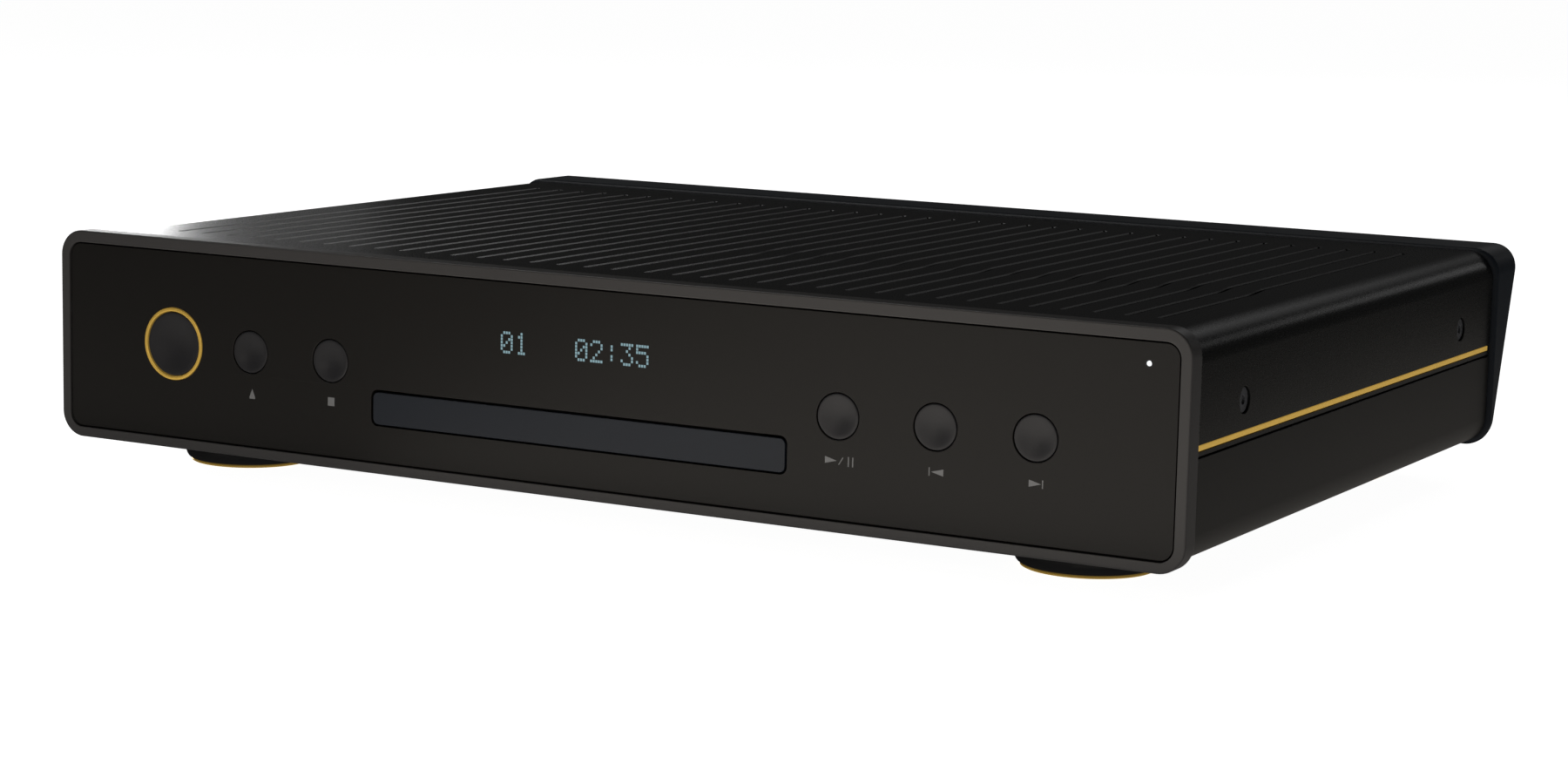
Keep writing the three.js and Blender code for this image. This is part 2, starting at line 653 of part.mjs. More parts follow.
function addDrawer() {
  const door = roundedPoints(-DOOR.halfWidth, DOOR.halfWidth, DOOR.bottom, DOOR.top, DOOR.corner, 3);
  addPart('tray_door', alongY(shapeOf(door), FASCIA_FACE_Y, TRAY.front - GAP, softEdge(0.3)), LOOKS.door);

  const { halfWidth, front, rear, bottom, top } = TRAY;
  const { bottom: floorBottom, top: floorTop } = TRAY_FLOOR;
  const wall = DISC_RECESS + 2;
  const joined = [
    block(-halfWidth, halfWidth, front, rear, TRAY_RIM_BOTTOM, top),
    turnedZ([[0, floorBottom], [wall, floorBottom], [wall, top], [0, top]], 0, DISC_Y, 32),
    block(-halfWidth, -TRAY_RAIL_INNER, front, rear, bottom, top),
    block(TRAY_RAIL_INNER, halfWidth, front, rear, bottom, top),
    block(-halfWidth, halfWidth, front, front + 3, bottom, top),
    alongZ(rackOutline(GEAR.x - GEAR_RADIUS - TOOTH.root, 26, rear), bottom, floorBottom + 0.2),
  ];
  const removed = [
    turnedZ(
      [[0, floorTop], [DISC_RECESS, floorTop], [DISC_RECESS + 0.6, top + 1], [0, top + 1]],
      0, DISC_Y, 32,
    ),
    rodZ(floorTop - 0.8, top + 1, 0, DISC_Y, SMALL_DISC_RECESS, LARGE),
    rodZ(bottom - 1, top + 1, 0, DISC_Y, TRAY_SLOT_HALF, MEDIUM),
    block(-TRAY_SLOT_HALF, TRAY_SLOT_HALF, DISC_Y, rear + 1, bottom - 1, top + 1),
  ];
  addPart('disc_tray', carve(joined, removed), LOOKS.blackPlastic);
}

function addLoaderFrame() {
  const { inner, outer, front, rear, bottom, top } = LOADER;
  const ledgeTop = TRAY.bottom - 0.4;
  const joined = [
    block(-outer, outer, front, DECK.frontEnd, DECK.bottom, DECK.top),
    block(-outer, outer, DECK.rearStart, rear, DECK.bottom, DECK.top),
    block(-outer, outer, front, front + 2, bottom, DECK.top),
    block(-outer, outer, rear - 2, rear, bottom, top),
    rodZ(DECK.bottom + 0.2, GEAR.top - 0.4, GEAR.x, GEAR.y, 1.2, SMALL),
  ];
  const removed = [rodZ(bottom - 1, DECK.top + 1, LOADING_MOTOR_X, GEAR.y, 10.6, MEDIUM)];
  for (const sign of [-1, 1]) {
    const wall = [sign * inner, sign * outer].sort((a, b) => a - b);
    const ledge = [sign * 66, sign * (inner + 0.5)].sort((a, b) => a - b);
    const ear = [sign * 48.5, sign * 53].sort((a, b) => a - b);
    joined.push(block(wall[0], wall[1], front, rear, bottom, top));
    joined.push(block(ledge[0], ledge[1], front, rear, ledgeTop - 2.6, ledgeTop));
    joined.push(block(ear[0], ear[1], 178, DECK.rearStart + 1, DECK.bottom, TRAVERSE.pivotZ + 3));
    removed.push(rodX(ear[0] - 1, ear[1] + 1, TRAVERSE.pivotY, TRAVERSE.pivotZ, 2, SMALL));
  }
  addPart('loader_frame', carve(joined, removed), LOOKS.blackPlastic);
}

/** Convex loop round two pulleys at the same depth, used for both faces of the belt. */
function beltLoop(offset) {
  const distance = LOADING_MOTOR_X - GEAR.x;
  const lean = Math.acos((BELT.large - BELT.small) / distance);
  return [
    ...arcPoints(GEAR.x, GEAR.y, BELT.large + offset, lean, 2 * Math.PI - lean, 12),
    ...arcPoints(LOADING_MOTOR_X, GEAR.y, BELT.small + offset, -lean, lean, 6),
  ];
}

function pulleyProfile(bore, outer, groove, bottom, top) {
  return [
    [bore, bottom],
    [outer, bottom],
    [outer, bottom + 0.7],
    [groove, BELT.bottom - GAP],
    [groove, BELT.top + GAP],
    [outer, top - 0.7],
    [outer, top],
    [bore, top],
    [bore, bottom],
  ];
}

function addLoadingDrive() {
  const bore = 1.6;
  const grooveDepth = BELT.half + GAP;
  const largePulley = turnedZ(
    pulleyProfile(bore, BELT.large + 1.2, BELT.large - grooveDepth, 21.8, 25.6), GEAR.x, GEAR.y, MEDIUM,
  );
  const gear = alongZ(gearOutline(bore), 25.4, GEAR.top);
  addPart('loading_gear', carve([largePulley, gear]), LOOKS.whitePlastic);

  const smallPulley = turnedZ(
    pulleyProfile(1.05, BELT.small + 1.2, BELT.small - grooveDepth, 21.9, 25.6),
    LOADING_MOTOR_X, GEAR.y, SMALL,
  );
  addPart('motor_pulley', smallPulley, LOOKS.whitePlastic);

  const belt = shapeOf(beltLoop(BELT.half), [beltLoop(-BELT.half)]);
  addPart('drive_belt', alongZ(belt, BELT.bottom, BELT.top), LOOKS.rubber);

  addPart('loading_motor', turnedZ([
    [0, FLOOR_TOP + 0.6],
    [10, FLOOR_TOP + 0.6],
    [10, 20.6],
    [9.2, 21.4],
    [0.75, 21.4],
    [0.75, 25.4],
    [0, 25.4],
  ], LOADING_MOTOR_X, GEAR.y, MEDIUM), LOOKS.zinc);
}

function addClamp() {
  const bottom = LOADER.top + GAP;
  const plate = block(-LOADER.outer, LOADER.outer, DISC_Y - 14, DISC_Y + 14, bottom, bottom + 1.8);
  addPart('clamp_bridge', carve([plate], [rodZ(bottom - 1, bottom + 3, 0, DISC_Y, 11, LARGE)]), LOOKS.zinc);
  addPart('clamp_puck', turnedZ([
    [0, 37],
    [8.5, 37],
    [8.5, 35.6],
    [14, 35.6],
    [14.5, 36.2],
    [14.5, 39.6],
    [10.3, 39.9],
    [10.3, bottom + 2.1],
    [13, bottom + 2.1],
    [13, bottom + 3.6],
    [0, bottom + 3.6],
  ], 0, DISC_Y, MEDIUM), LOOKS.blackPlastic);
}

// ---------------------------------------------------------------- pickup mechanism

function addTraverse() {
  const { halfWidth, front, rear, bottom, top, pivotY, pivotZ } = TRAVERSE;
  const windowFront = 98;
  const windowRear = 166;
  const windowRight = FEED_X + 5;
  const windowLeft = -ROD.x - 4;
  const joined = [block(-halfWidth, halfWidth, front, rear, bottom, top)];
  const removed = [
    rodZ(bottom - 1, top + 1, 0, DISC_Y, 5, MEDIUM),
    block(windowLeft, windowRight, windowFront, windowRear, bottom - 1, top + 1),
    block(FEED_X - 5.6, FEED_X + 6.3, windowRear - 1, rear - 1, bottom - 6, top + 1),
  ];
  for (const y of [93, windowRear + GAP]) {
    for (const x of [-ROD.x, ROD.x]) {
      joined.push(block(x - 3.2, x + 3.2, y, y + 4.7, ROD.z - 2.5, bottom + 0.2));
      removed.push(rodY(y - 1, y + 6, x, ROD.z, ROD.radius + GAP, SMALL));
    }
  }
  joined.push(block(FEED_X - 3.3, FEED_X + 3.3, 93, 97.7, ROD.z - 3, bottom + 0.2));
  removed.push(rodY(92, 99, FEED_X, ROD.z, 2.3, SMALL));
  for (const sign of [-1, 1]) {
    const pin = [sign * (halfWidth - 0.5), sign * 52.5].sort((a, b) => a - b);
    joined.push(rodX(pin[0], pin[1], pivotY, pivotZ, 1.5, SMALL));
  }
  addPart('traverse_plate', carve(joined, removed), LOOKS.zinc);

  addPart('spindle_motor', turnedZ([
    [0, 19],
    [10.4, 19],
    [11, 19.6],
    [11, bottom - GAP],
    [1.4, bottom - GAP],
    [1.4, 19.9],
    [0, 19.9],
  ], 0, DISC_Y, MEDIUM), LOOKS.zinc);

  addPart('turntable', turnedZ([
    [0, 20.2],
    [1, 20.2],
    [1, 26],
    [4, 26],
    [4, 31],
    [14.5, 31.8],
    [14.5, 34],
    [7.3, 34],
    [7.3, 35.6],
    [6.2, 36.2],
    [0, 36.2],
  ], 0, DISC_Y, MEDIUM), LOOKS.blackPlastic);

  for (const [side, x] of [['left', -ROD.x], ['right', ROD.x]]) {
    addPart(`guide_rod_${side}`, rodY(ROD.front, ROD.rear, x, ROD.z, ROD.radius, SMALL), LOOKS.steel);
  }
  addPart('feed_screw', rodY(93.3, 170.5, FEED_X, ROD.z, 2, SMALL), LOOKS.steel);
  addPart('feed_motor', rodY(171, 182, FEED_X, ROD.z, 5.2, MEDIUM), LOOKS.zinc);
}

/** Pickup block on two bushings, with the finger that follows the feed screw. */
function addSled() {
  const { halfWidth, front, rear, bottom, top } = SLED;
  const joined = [
    block(-halfWidth, halfWidth, front, rear, bottom, top),
    block(-ROD.x, ROD.x, front + 2, rear - 2, ROD.z - 1.6, ROD.z + 1.6),
    block(ROD.x, FEED_X - 2 - GAP, 105, 111, ROD.z - 1, ROD.z + 1),
  ];
  const removed = [];
  for (const x of [-ROD.x, ROD.x]) {
    joined.push(rodY(front + 1, rear - 1, x, ROD.z, 3.3, MEDIUM));
    removed.push(rodY(front - 1, rear + 1, x, ROD.z, ROD.radius + GAP, SMALL));
  }
  addPart('optical_sled', carve(joined, removed), LOOKS.blackPlastic);
  addPart('objective_lens', turnedZ([
    [0, top + 0.8],
    [4.5, top + 0.8],
    [4.5, top + 1.6],
    [2.6, top + 2],
    [1.6, top + 2.6],
    [0, top + 2.8],
  ], 0, LENS_Y, SMALL), LOOKS.lens);
}

// ---------------------------------------------------------------- electronics and rear sockets

function boardPlate(board) {
  return block(board.left, board.right, board.front, board.rear, BOARD_Z, BOARD_Z + BOARD_THICKNESS);
}

function addBoards() {
  const onBoard = BOARD_Z + BOARD_THICKNESS - 0.2;
  const smoothing = [[-180, 190], [-156, 190], [-132, 190], [-180, 216]];
  const power = [boardPlate(POWER_BOARD)];
  for (const [x, y] of smoothing) {
    power.push(rodZ(onBoard, 52, x, y, 9, MEDIUM));
  }
  power.push(block(-150, -108, 222, 225, onBoard, 48));
  for (let i = 0; i < 5; i += 1) {
    power.push(block(-149 + i * 9, -147 + i * 9, 224.5, 238, onBoard, 48));
  }
  addPart('power_board', carve(power), LOOKS.board);

  const main = [
    boardPlate(MAIN_BOARD),
    block(118, 134, 160, 176, onBoard, onBoard + 2),
    block(156, 166, 206, 216, onBoard, onBoard + 1.8),
    block(176, 190, 150, 158, onBoard, onBoard + 2.4),
  ];
  for (let i = 0; i < 4; i += 1) {
    main.push(rodZ(onBoard, 36, 130 + i * 16, 240, 4, SMALL));
  }
  addPart('main_board', carve(main), LOOKS.board);
}

function addTransformer() {
  const { x, y, inner, outer, bottom, top, round } = TRANSFORMER;
  const section = roundedPoints(inner, outer, bottom, top, round, 1).map((p) => [p.x, p.y]);
  section.push(section[0]);
  addPart('transformer', turnedZ(section, x, y, LARGE), LOOKS.winding);
  addPart('transformer_clamp', turnedZ([
    [0, FLOOR_TOP + GAP],
    [3, FLOOR_TOP + GAP],
    [3, top + GAP],
    [24, top + GAP],
    [24, top + 1.8],
    [5, top + 1.8],
    [5, top + 5],
    [0, top + 5],
  ], x, y, MEDIUM), LOOKS.zinc);
}

function addRearPanel() {
  const outline = roundedPoints(-PANEL.halfWidth, PANEL.halfWidth, PANEL.bottom, PANEL.top, PANEL.corner, 4);
  const round = [...ANALOGUE_XS, COAX_X].map((x) => circlePoints(x, SOCKET_Z, 4.8, MEDIUM));
  const inletHole = roundedPoints(
    INLET.x - INLET.halfWidth - 0.4, INLET.x + INLET.halfWidth + 0.4,
    INLET.z - INLET.halfHeight - 0.4, INLET.z + INLET.halfHeight + 0.4, 0.6, 1,
  );
  const opticalHole = roundedPoints(OPTICAL_X - 5.2, OPTICAL_X + 5.2, SOCKET_Z - 5.2, SOCKET_Z + 5.2, 0.3, 1);
  const plate = alongY(shapeOf(outline, [...round, inletHole, opticalHole]), PANEL.front, PANEL.rear);
  addPart('rear_panel', plate, LOOKS.greyPaint);
}

/** Mains inlet: flange outside the panel, hollow body inside it, and three contact blades. */
function addInlet() {
  const { x, z, halfWidth, halfHeight } = INLET;
  const rear = PANEL.rear + GAP + 2;
  const flange = alongY(
    shapeOf(roundedPoints(x - 16, x + 16, z - 12.5, z + 12.5, 2.5, 3)), PANEL.rear + GAP, rear,
  );
  const body = block(x - halfWidth, x + halfWidth, 268, rear - 1, z - halfHeight, z + halfHeight);
  const cavityOutline = pairs([
    [x - 12, z - 5.5], [x - 9, z - 8.2], [x + 9, z - 8.2],
    [x + 12, z - 5.5], [x + 12, z + 8], [x - 12, z + 8],
  ]);
  const cavity = alongY(shapeOf(cavityOutline), 275, rear + 1);
  const shell = carve([flange, body], [cavity]);
  const blades = [[x - 7, z - 2], [x, z + 3], [x + 7, z - 2]].map(([bx, bz]) => (
    block(bx - 1, bx + 1, 274, 288, bz - 2, bz + 2)
  ));
  addPart('mains_inlet', carve([shell, ...blades]), LOOKS.blackPlastic);
}

/** Phono barrel with its contact bore, pointing out of the back. */
function phonoBarrel(x) {
  return turnedY([
    [0, 287],
    [4.2, 287],
    [4.2, SOCKET_REAR - 0.4],
    [3.8, SOCKET_REAR],
    [1.6, SOCKET_REAR],
    [1.6, 291.5],
    [0, 291.5],
  ], x, SOCKET_Z, MEDIUM);
}

function addSockets() {
  const innerRear = PANEL.front - GAP;
  const base = BOARD_Z + BOARD_THICKNESS + GAP;
  const [first, last] = ANALOGUE_XS;
  const analogue = block(first - 8, last + 8, 272, innerRear, base, SOCKET_Z + 8);
  addPart('analogue_sockets', carve([analogue, ...ANALOGUE_XS.map(phonoBarrel)]), LOOKS.blackPlastic);
  const coax = block(COAX_X - 7, COAX_X + 7, 274, innerRear, base, SOCKET_Z + 7);
  addPart('coaxial_socket', carve([coax, phonoBarrel(COAX_X)]), LOOKS.blackPlastic);
  const optical = block(OPTICAL_X - 6.5, OPTICAL_X + 6.5, 274, innerRear, base, SOCKET_Z + 6.5);
  const nose = block(OPTICAL_X - 4.9, OPTICAL_X + 4.9, 288, PANEL.rear + 1, SOCKET_Z - 4.9, SOCKET_Z + 4.9);
  const port = block(OPTICAL_X - 3, OPTICAL_X + 3, 284, PANEL.rear + 2, SOCKET_Z - 3, SOCKET_Z + 3);
  addPart('optical_socket', carve([optical, nose], [port]), LOOKS.blackPlastic);
}

// ---------------------------------------------------------------- assembly

addFrontBezel();
addFascia();
addTopCover();
addChassis();
addAccentStrips();
addRearBezel();
addRearPanel();
addCoverScrews();
addFeet();
addButtons();
addFrontElectronics();
addDrawer();
addLoaderFrame();
addLoadingDrive();
addClamp();
addTraverse();
addSled();
addBoards();
addTransformer();
addInlet();
addSockets();

player.position.y = -DEPTH / 2;

const scene = new THREE.Group();
scene.add(player);
scene.updateMatrixWorld(true);

export default scene;
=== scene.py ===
"""Looks of the slim CD player: fine shells, dished buttons, slotted cover, materials, light and camera.

Lengths in this script are millimetres in the CAD frame (X right seen from the front, Y back, Z up) and
become metres when a mesh is made. Places come from the boxes of the CAD nodes.
"""

import math

import bmesh
import bpy
from mathutils import Matrix, Vector
from mathutils.geometry import tessellate_polygon


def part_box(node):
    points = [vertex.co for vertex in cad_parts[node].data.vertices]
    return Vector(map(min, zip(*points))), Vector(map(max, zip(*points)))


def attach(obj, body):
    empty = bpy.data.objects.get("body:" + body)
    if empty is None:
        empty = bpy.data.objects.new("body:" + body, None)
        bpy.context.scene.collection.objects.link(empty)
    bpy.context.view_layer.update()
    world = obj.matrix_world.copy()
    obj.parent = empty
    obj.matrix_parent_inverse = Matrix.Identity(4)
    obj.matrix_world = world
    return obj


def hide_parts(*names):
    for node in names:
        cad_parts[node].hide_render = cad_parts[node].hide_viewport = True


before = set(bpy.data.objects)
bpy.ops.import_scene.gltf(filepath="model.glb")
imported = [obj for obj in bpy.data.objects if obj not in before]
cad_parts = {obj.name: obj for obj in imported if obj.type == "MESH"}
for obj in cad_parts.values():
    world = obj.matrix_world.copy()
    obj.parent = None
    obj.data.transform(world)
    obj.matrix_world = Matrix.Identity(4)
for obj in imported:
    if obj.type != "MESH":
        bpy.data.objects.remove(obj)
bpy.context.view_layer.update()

MM = 0.001
QUARTER = math.pi / 2


class Extent:
    """Box of a CAD node at rest, in millimetres."""

    def __init__(self, node):
        low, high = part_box(node)
        self.left, self.front, self.bottom = (v / MM for v in low)
        self.right, self.rear, self.top = (v / MM for v in high)
        self.x = (self.left + self.right) / 2
        self.y = (self.front + self.rear) / 2
        self.z = (self.bottom + self.top) / 2


BEZEL = Extent("front_bezel")
FASCIA = Extent("fascia_plate")
COVER = Extent("top_cover")
CHASSIS = Extent("chassis")
REAR_BEZEL = Extent("rear_bezel")
REAR_PANEL = Extent("rear_panel")
DOOR = Extent("tray_door")
SMALL_BUTTONS = ("eject_button", "stop_button", "play_pause_button", "previous_button", "next_button")
SIDES = (("left", -1), ("right", 1))
ENDS = ("front", "rear")
FRONT = BEZEL.front
SMALL_RADIUS = 7.25
POWER_RADIUS = 11.2

# ------------------------------------------------------------------ node materials


def new_material(name):
    """Empty node material and its Principled shader."""
    material = bpy.data.materials.new(name)
    material.use_nodes = True
    shader = material.node_tree.nodes["Principled BSDF"]
    return material, shader


def add_node(material, kind, **inputs):
    """Add a node and set its inputs by name, with spaces written as underscores."""
    node = material.node_tree.nodes.new(kind)
    for key, value in inputs.items():
        node.inputs[key.replace("_", " ")].default_value = value
    return node


def link(material, source, target):
    """Wire one node's output to another node's input."""
    material.node_tree.links.new(source, target)


def object_place(material):
    """Coordinates that stay with the object."""
    return add_node(material, "ShaderNodeTexCoord").outputs["Object"]


def cloudy_color(material, place, low, high, target, **noise):
    """Drive a colour input from low to high by soft noise."""
    cloud = add_node(material, "ShaderNodeTexNoise", **noise)
    link(material, place, cloud.inputs["Vector"])
    tint = material.node_tree.nodes.new("ShaderNodeMix")
    tint.data_type = "RGBA"
    tint.inputs["A"].default_value = (*low, 1)
    tint.inputs["B"].default_value = (*high, 1)
    link(material, cloud.outputs["Fac"], tint.inputs["Factor"])
    link(material, tint.outputs["Result"], target)


def vary_roughness(material, source, low, high, target):
    """Drive a roughness input from low to high by a texture."""
    spread = add_node(material, "ShaderNodeMapRange")
    spread.inputs["To Min"].default_value = low
    spread.inputs["To Max"].default_value = high
    link(material, source, spread.inputs["Value"])
    link(material, spread.outputs["Result"], target)


def add_bump(material, source, strength, distance, target):
    """Fine relief from a texture."""
    bump = add_node(material, "ShaderNodeBump", Strength=strength, Distance=distance)
    link(material, source, bump.inputs["Height"])
    link(material, bump.outputs["Normal"], target)


def fine_finish(name, color, roughness, metallic=0.0, grain=2600.0, depth=0.02, drift=0.12, specular=0.5):
    """Painted, anodised or moulded surface: soft colour drift, fine grain in roughness and bump."""
    material, shader = new_material(name)
    place = object_place(material)
    low, high = [c * (1 - drift) for c in color], [c * (1 + drift) for c in color]
    cloudy_color(material, place, low, high, shader.inputs["Base Color"],
                 Scale=9.0, Detail=3.0, Roughness=0.55)
    speck = add_node(material, "ShaderNodeTexNoise", Scale=grain, Detail=2.0, Roughness=0.6)
    link(material, place, speck.inputs["Vector"])
    grains = speck.outputs["Fac"]
    vary_roughness(material, grains, roughness - 0.05, roughness + 0.05, shader.inputs["Roughness"])
    add_bump(material, grains, depth * 10, 0.0001, shader.inputs["Normal"])
    shader.inputs["Metallic"].default_value = metallic
    shader.inputs["Specular IOR Level"].default_value = specular
    return material


def spun_finish(name, color, roughness, metallic, ring_scale, specular=0.5):
    """Turned metal: fine rings round the piece's own Y axis."""
    material, shader = new_material(name)
    place = object_place(material)
    rings = material.node_tree.nodes.new("ShaderNodeTexWave")
    rings.wave_type = "RINGS"
    rings.rings_direction = "Y"
    rings.inputs["Scale"].default_value = ring_scale
    rings.inputs["Distortion"].default_value = 0.6
    rings.inputs["Detail"].default_value = 2.0
    link(material, place, rings.inputs["Vector"])
    ridges = rings.outputs["Fac"]
    vary_roughness(material, ridges, roughness - 0.04, roughness + 0.06, shader.inputs["Roughness"])
    add_bump(material, ridges, 0.06, 0.00004, shader.inputs["Normal"])
    low, high = [c * 0.92 for c in color], [c * 1.08 for c in color]
    cloudy_color(material, place, low, high, shader.inputs["Base Color"], Scale=60.0, Detail=2.0)
    shader.inputs["Metallic"].default_value = metallic
    shader.inputs["Specular IOR Level"].default_value = specular
    return material


def glow(name, color, strength):
    """Lit surface, a little uneven as a printed or moulded light is."""
    material, shader = new_material(name)
    cloudy_color(material, object_place(material), [c * 0.9 for c in color], color,
                 shader.inputs["Emission Color"], Scale=400.0, Detail=1.0)
    shader.inputs["Base Color"].default_value = (0.01, 0.01, 0.01, 1)
    shader.inputs["Emission Strength"].default_value = strength
    return material


def gold_with_painted_glow(name, strength):
    """Satin gold anodising with a painted reflection: an emission glow that stands in for the lit room it
    would mirror.
    """
    material = fine_finish(name, (0.80, 0.51, 0.10), 0.32, metallic=0.8, grain=1500, depth=0.01, drift=0.05)
    shader = material.node_tree.nodes["Principled BSDF"]
    # Painted reflection: this emission makes the gold glow in its own colour, in place of the bright
    # surroundings it would reflect.
    shader.inputs["Emission Color"].default_value = (0.80, 0.50, 0.10, 1)
    shader.inputs["Emission Strength"].default_value = strength
    return material


SATIN = 0.25
PAINT = fine_finish("cover_paint", (0.0050, 0.0049, 0.0046), 0.28, grain=2200, depth=0.02, specular=SATIN)
CHASSIS_PAINT = fine_finish("chassis_paint", (0.0070, 0.0066, 0.0060), 0.38, grain=2200, depth=0.02,
                            specular=SATIN)
FASCIA_FINISH = fine_finish("fascia_finish", (0.0050, 0.0043, 0.0036), 0.45, grain=3200, depth=0.015,
                            specular=SATIN)
BEZEL_FINISH = fine_finish("bezel_finish", (0.033, 0.031, 0.030), 0.42, grain=3000, depth=0.012,
                           specular=SATIN)
REAR_FINISH = fine_finish("rear_finish", (0.0070, 0.0092, 0.0125), 0.48, grain=1800, depth=0.03,
                          specular=SATIN)
DOOR_FINISH = fine_finish("door_finish", (0.0080, 0.0105, 0.0155), 0.45, grain=3200, depth=0.012,
                          specular=SATIN)
# Painted reflection on the gold: the trim rings glow a little and the side strips more, in place of reflected
# light.
GOLD = gold_with_painted_glow("gold", 0.15)
STRIP_GOLD = gold_with_painted_glow("strip_gold", 0.36)
BUTTON_FINISH = spun_finish("button_finish", (0.0120, 0.0116, 0.0130), 0.40, 0.0, 900.0, specular=0.3)
SCREW_FINISH = fine_finish("screw_finish", (0.048, 0.048, 0.052), 0.5, metallic=0.3, grain=1500)
FOOT_FINISH = fine_finish("foot_finish", (0.008, 0.0075, 0.0075), 0.5, grain=1400, depth=0.03, specular=SATIN)
RUBBER = fine_finish("rubber", (0.012, 0.012, 0.012), 0.85, grain=900, depth=0.06, specular=SATIN)
BLACK_PLASTIC = fine_finish("black_plastic", (0.012, 0.012, 0.013), 0.5, grain=1100, depth=0.05)
WHITE_PLASTIC = fine_finish("white_plastic", (0.72, 0.70, 0.64), 0.45, grain=900, depth=0.02)
ZINC = fine_finish("zinc", (0.55, 0.56, 0.58), 0.38, metallic=1.0, grain=500, depth=0.05, drift=0.15)
STEEL = fine_finish("steel", (0.66, 0.67, 0.69), 0.18, metallic=1.0, grain=2500)
BOARD = fine_finish("circuit_board", (0.012, 0.09, 0.04), 0.4, grain=700, depth=0.05, drift=0.3)
WINDING = fine_finish("winding", (0.22, 0.07, 0.02), 0.35, grain=500, depth=0.1)
DISPLAY_GLASS = fine_finish("display_glass", (0.006, 0.009, 0.010), 0.15)
LENS_GLASS = fine_finish("lens_glass", (0.16, 0.22, 0.42), 0.08, grain=900, depth=0.0)
PRINT = fine_finish("print", (0.11, 0.11, 0.11), 0.6, grain=2000)
DIGIT_GLOW = glow("digit_glow", (0.24, 0.39, 0.44), 0.85)
LED_GLOW = glow("led_glow", (0.95, 0.98, 1.0), 1.2)

# ------------------------------------------------------------------ outlines


def arc(x, y, radius, start, end, steps):
    """Points of a circular arc, with both ends."""
    angles = [start + (end - start) * i / steps for i in range(steps + 1)]
    return [(x + radius * math.cos(a), y + radius * math.sin(a)) for a in angles]


def rounded(left, right, bottom, top, radius, steps=10):
    """Outline that shrinks by its inset: rounded rectangle, corners keep their centres."""

    def outline(inset=0.0):
        corner = max(radius - inset, 0.02)
        low_x, high_x = left + inset, right - inset
        low_y, high_y = bottom + inset, top - inset
        return (
            arc(high_x - corner, low_y + corner, corner, -QUARTER, 0, steps)
            + arc(high_x - corner, high_y - corner, corner, 0, QUARTER, steps)
            + arc(low_x + corner, high_y - corner, corner, QUARTER, 2 * QUARTER, steps)
            + arc(low_x + corner, low_y + corner, corner, 2 * QUARTER, 3 * QUARTER, steps)
        )

    return outline


def circle(x, y, radius, steps=48):
    """Round outline that shrinks by its inset."""

    def outline(inset=0.0):
        return arc(x, y, radius - inset, 0, 2 * math.pi, steps)[:-1]

    return outline


def hole(outline):
    """The same outline seen as a hole: an inset of the plate makes it wider."""
    return lambda inset=0.0: outline(-inset)


def polygon(points):
    """Outline that keeps its size whatever the inset."""
    return lambda inset=0.0: list(points)


def soft_profile(start, end, edge, steps=3, rear_edge=None):
    """Insets and depths of a plate whose rims are rounded by edge."""
    rear_edge = edge if rear_edge is None else rear_edge
    turns = [QUARTER * i / steps for i in range(steps + 1)]
    front = [(edge * (1 - math.sin(t)), start + edge * (1 - math.cos(t))) for t in turns]
    back = [(rear_edge * (1 - math.cos(t)), end - rear_edge * (1 - math.sin(t))) for t in turns]
    return front + back


# ------------------------------------------------------------------ mesh makers

TO_ROW = {
    "Y": lambda u, v, w: (u, w, v),
    "Z": lambda u, v, w: (u, v, w),
    "X": lambda u, v, w: (w, u, v),
}


def make_mesh(name, points, faces, material, sharp=35, origin=(0, 0, 0)):
    """Object from points in millimetres, with its faces turned outwards and flat faces kept flat."""
    mesh = bpy.data.meshes.new(name)
    ox, oy, oz = origin
    mesh.from_pydata([((x - ox) * MM, (y - oy) * MM, (z - oz) * MM) for x, y, z in points], [], faces)
    mesh.validate()
    obj = bpy.data.objects.new(name, mesh)
    obj.location = [v * MM for v in origin]
    bpy.context.scene.collection.objects.link(obj)
    finish_mesh(obj, sharp)
    mesh.materials.append(material)
    return obj


def finish_mesh(obj, sharp=35):
    """Close the seams, turn the faces outwards and shade smooth up to the sharp angle."""
    mesh = obj.data
    shape = bmesh.new()
    shape.from_mesh(mesh)
    bmesh.ops.remove_doubles(shape, verts=shape.verts, dist=1e-7)
    bmesh.ops.recalc_face_normals(shape, faces=shape.faces)
    shape.to_mesh(mesh)
    shape.free()
    for face in mesh.polygons:
        face.use_smooth = True
    mesh.set_sharp_from_angle(angle=math.radians(sharp))
    weigh = obj.modifiers.new("weigh", "WEIGHTED_NORMAL")
    weigh.keep_sharp = True
    weigh.weight = 80


def settle(obj, body, replaced=()):
    """Ride on a body and stand for CAD nodes."""
    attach(obj, body)
    if replaced:
        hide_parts(*replaced)
    return obj


def grid_faces(count, rows, base=0):
    """Faces of a tube of rings that follow each other in the list of points."""
    faces = []
    for r in range(rows - 1):
        for i in range(count):
            j = (i + 1) % count
            a, b = base + r * count + i, base + r * count + j
            faces.append((a, b, b + count, a + count))
    return faces


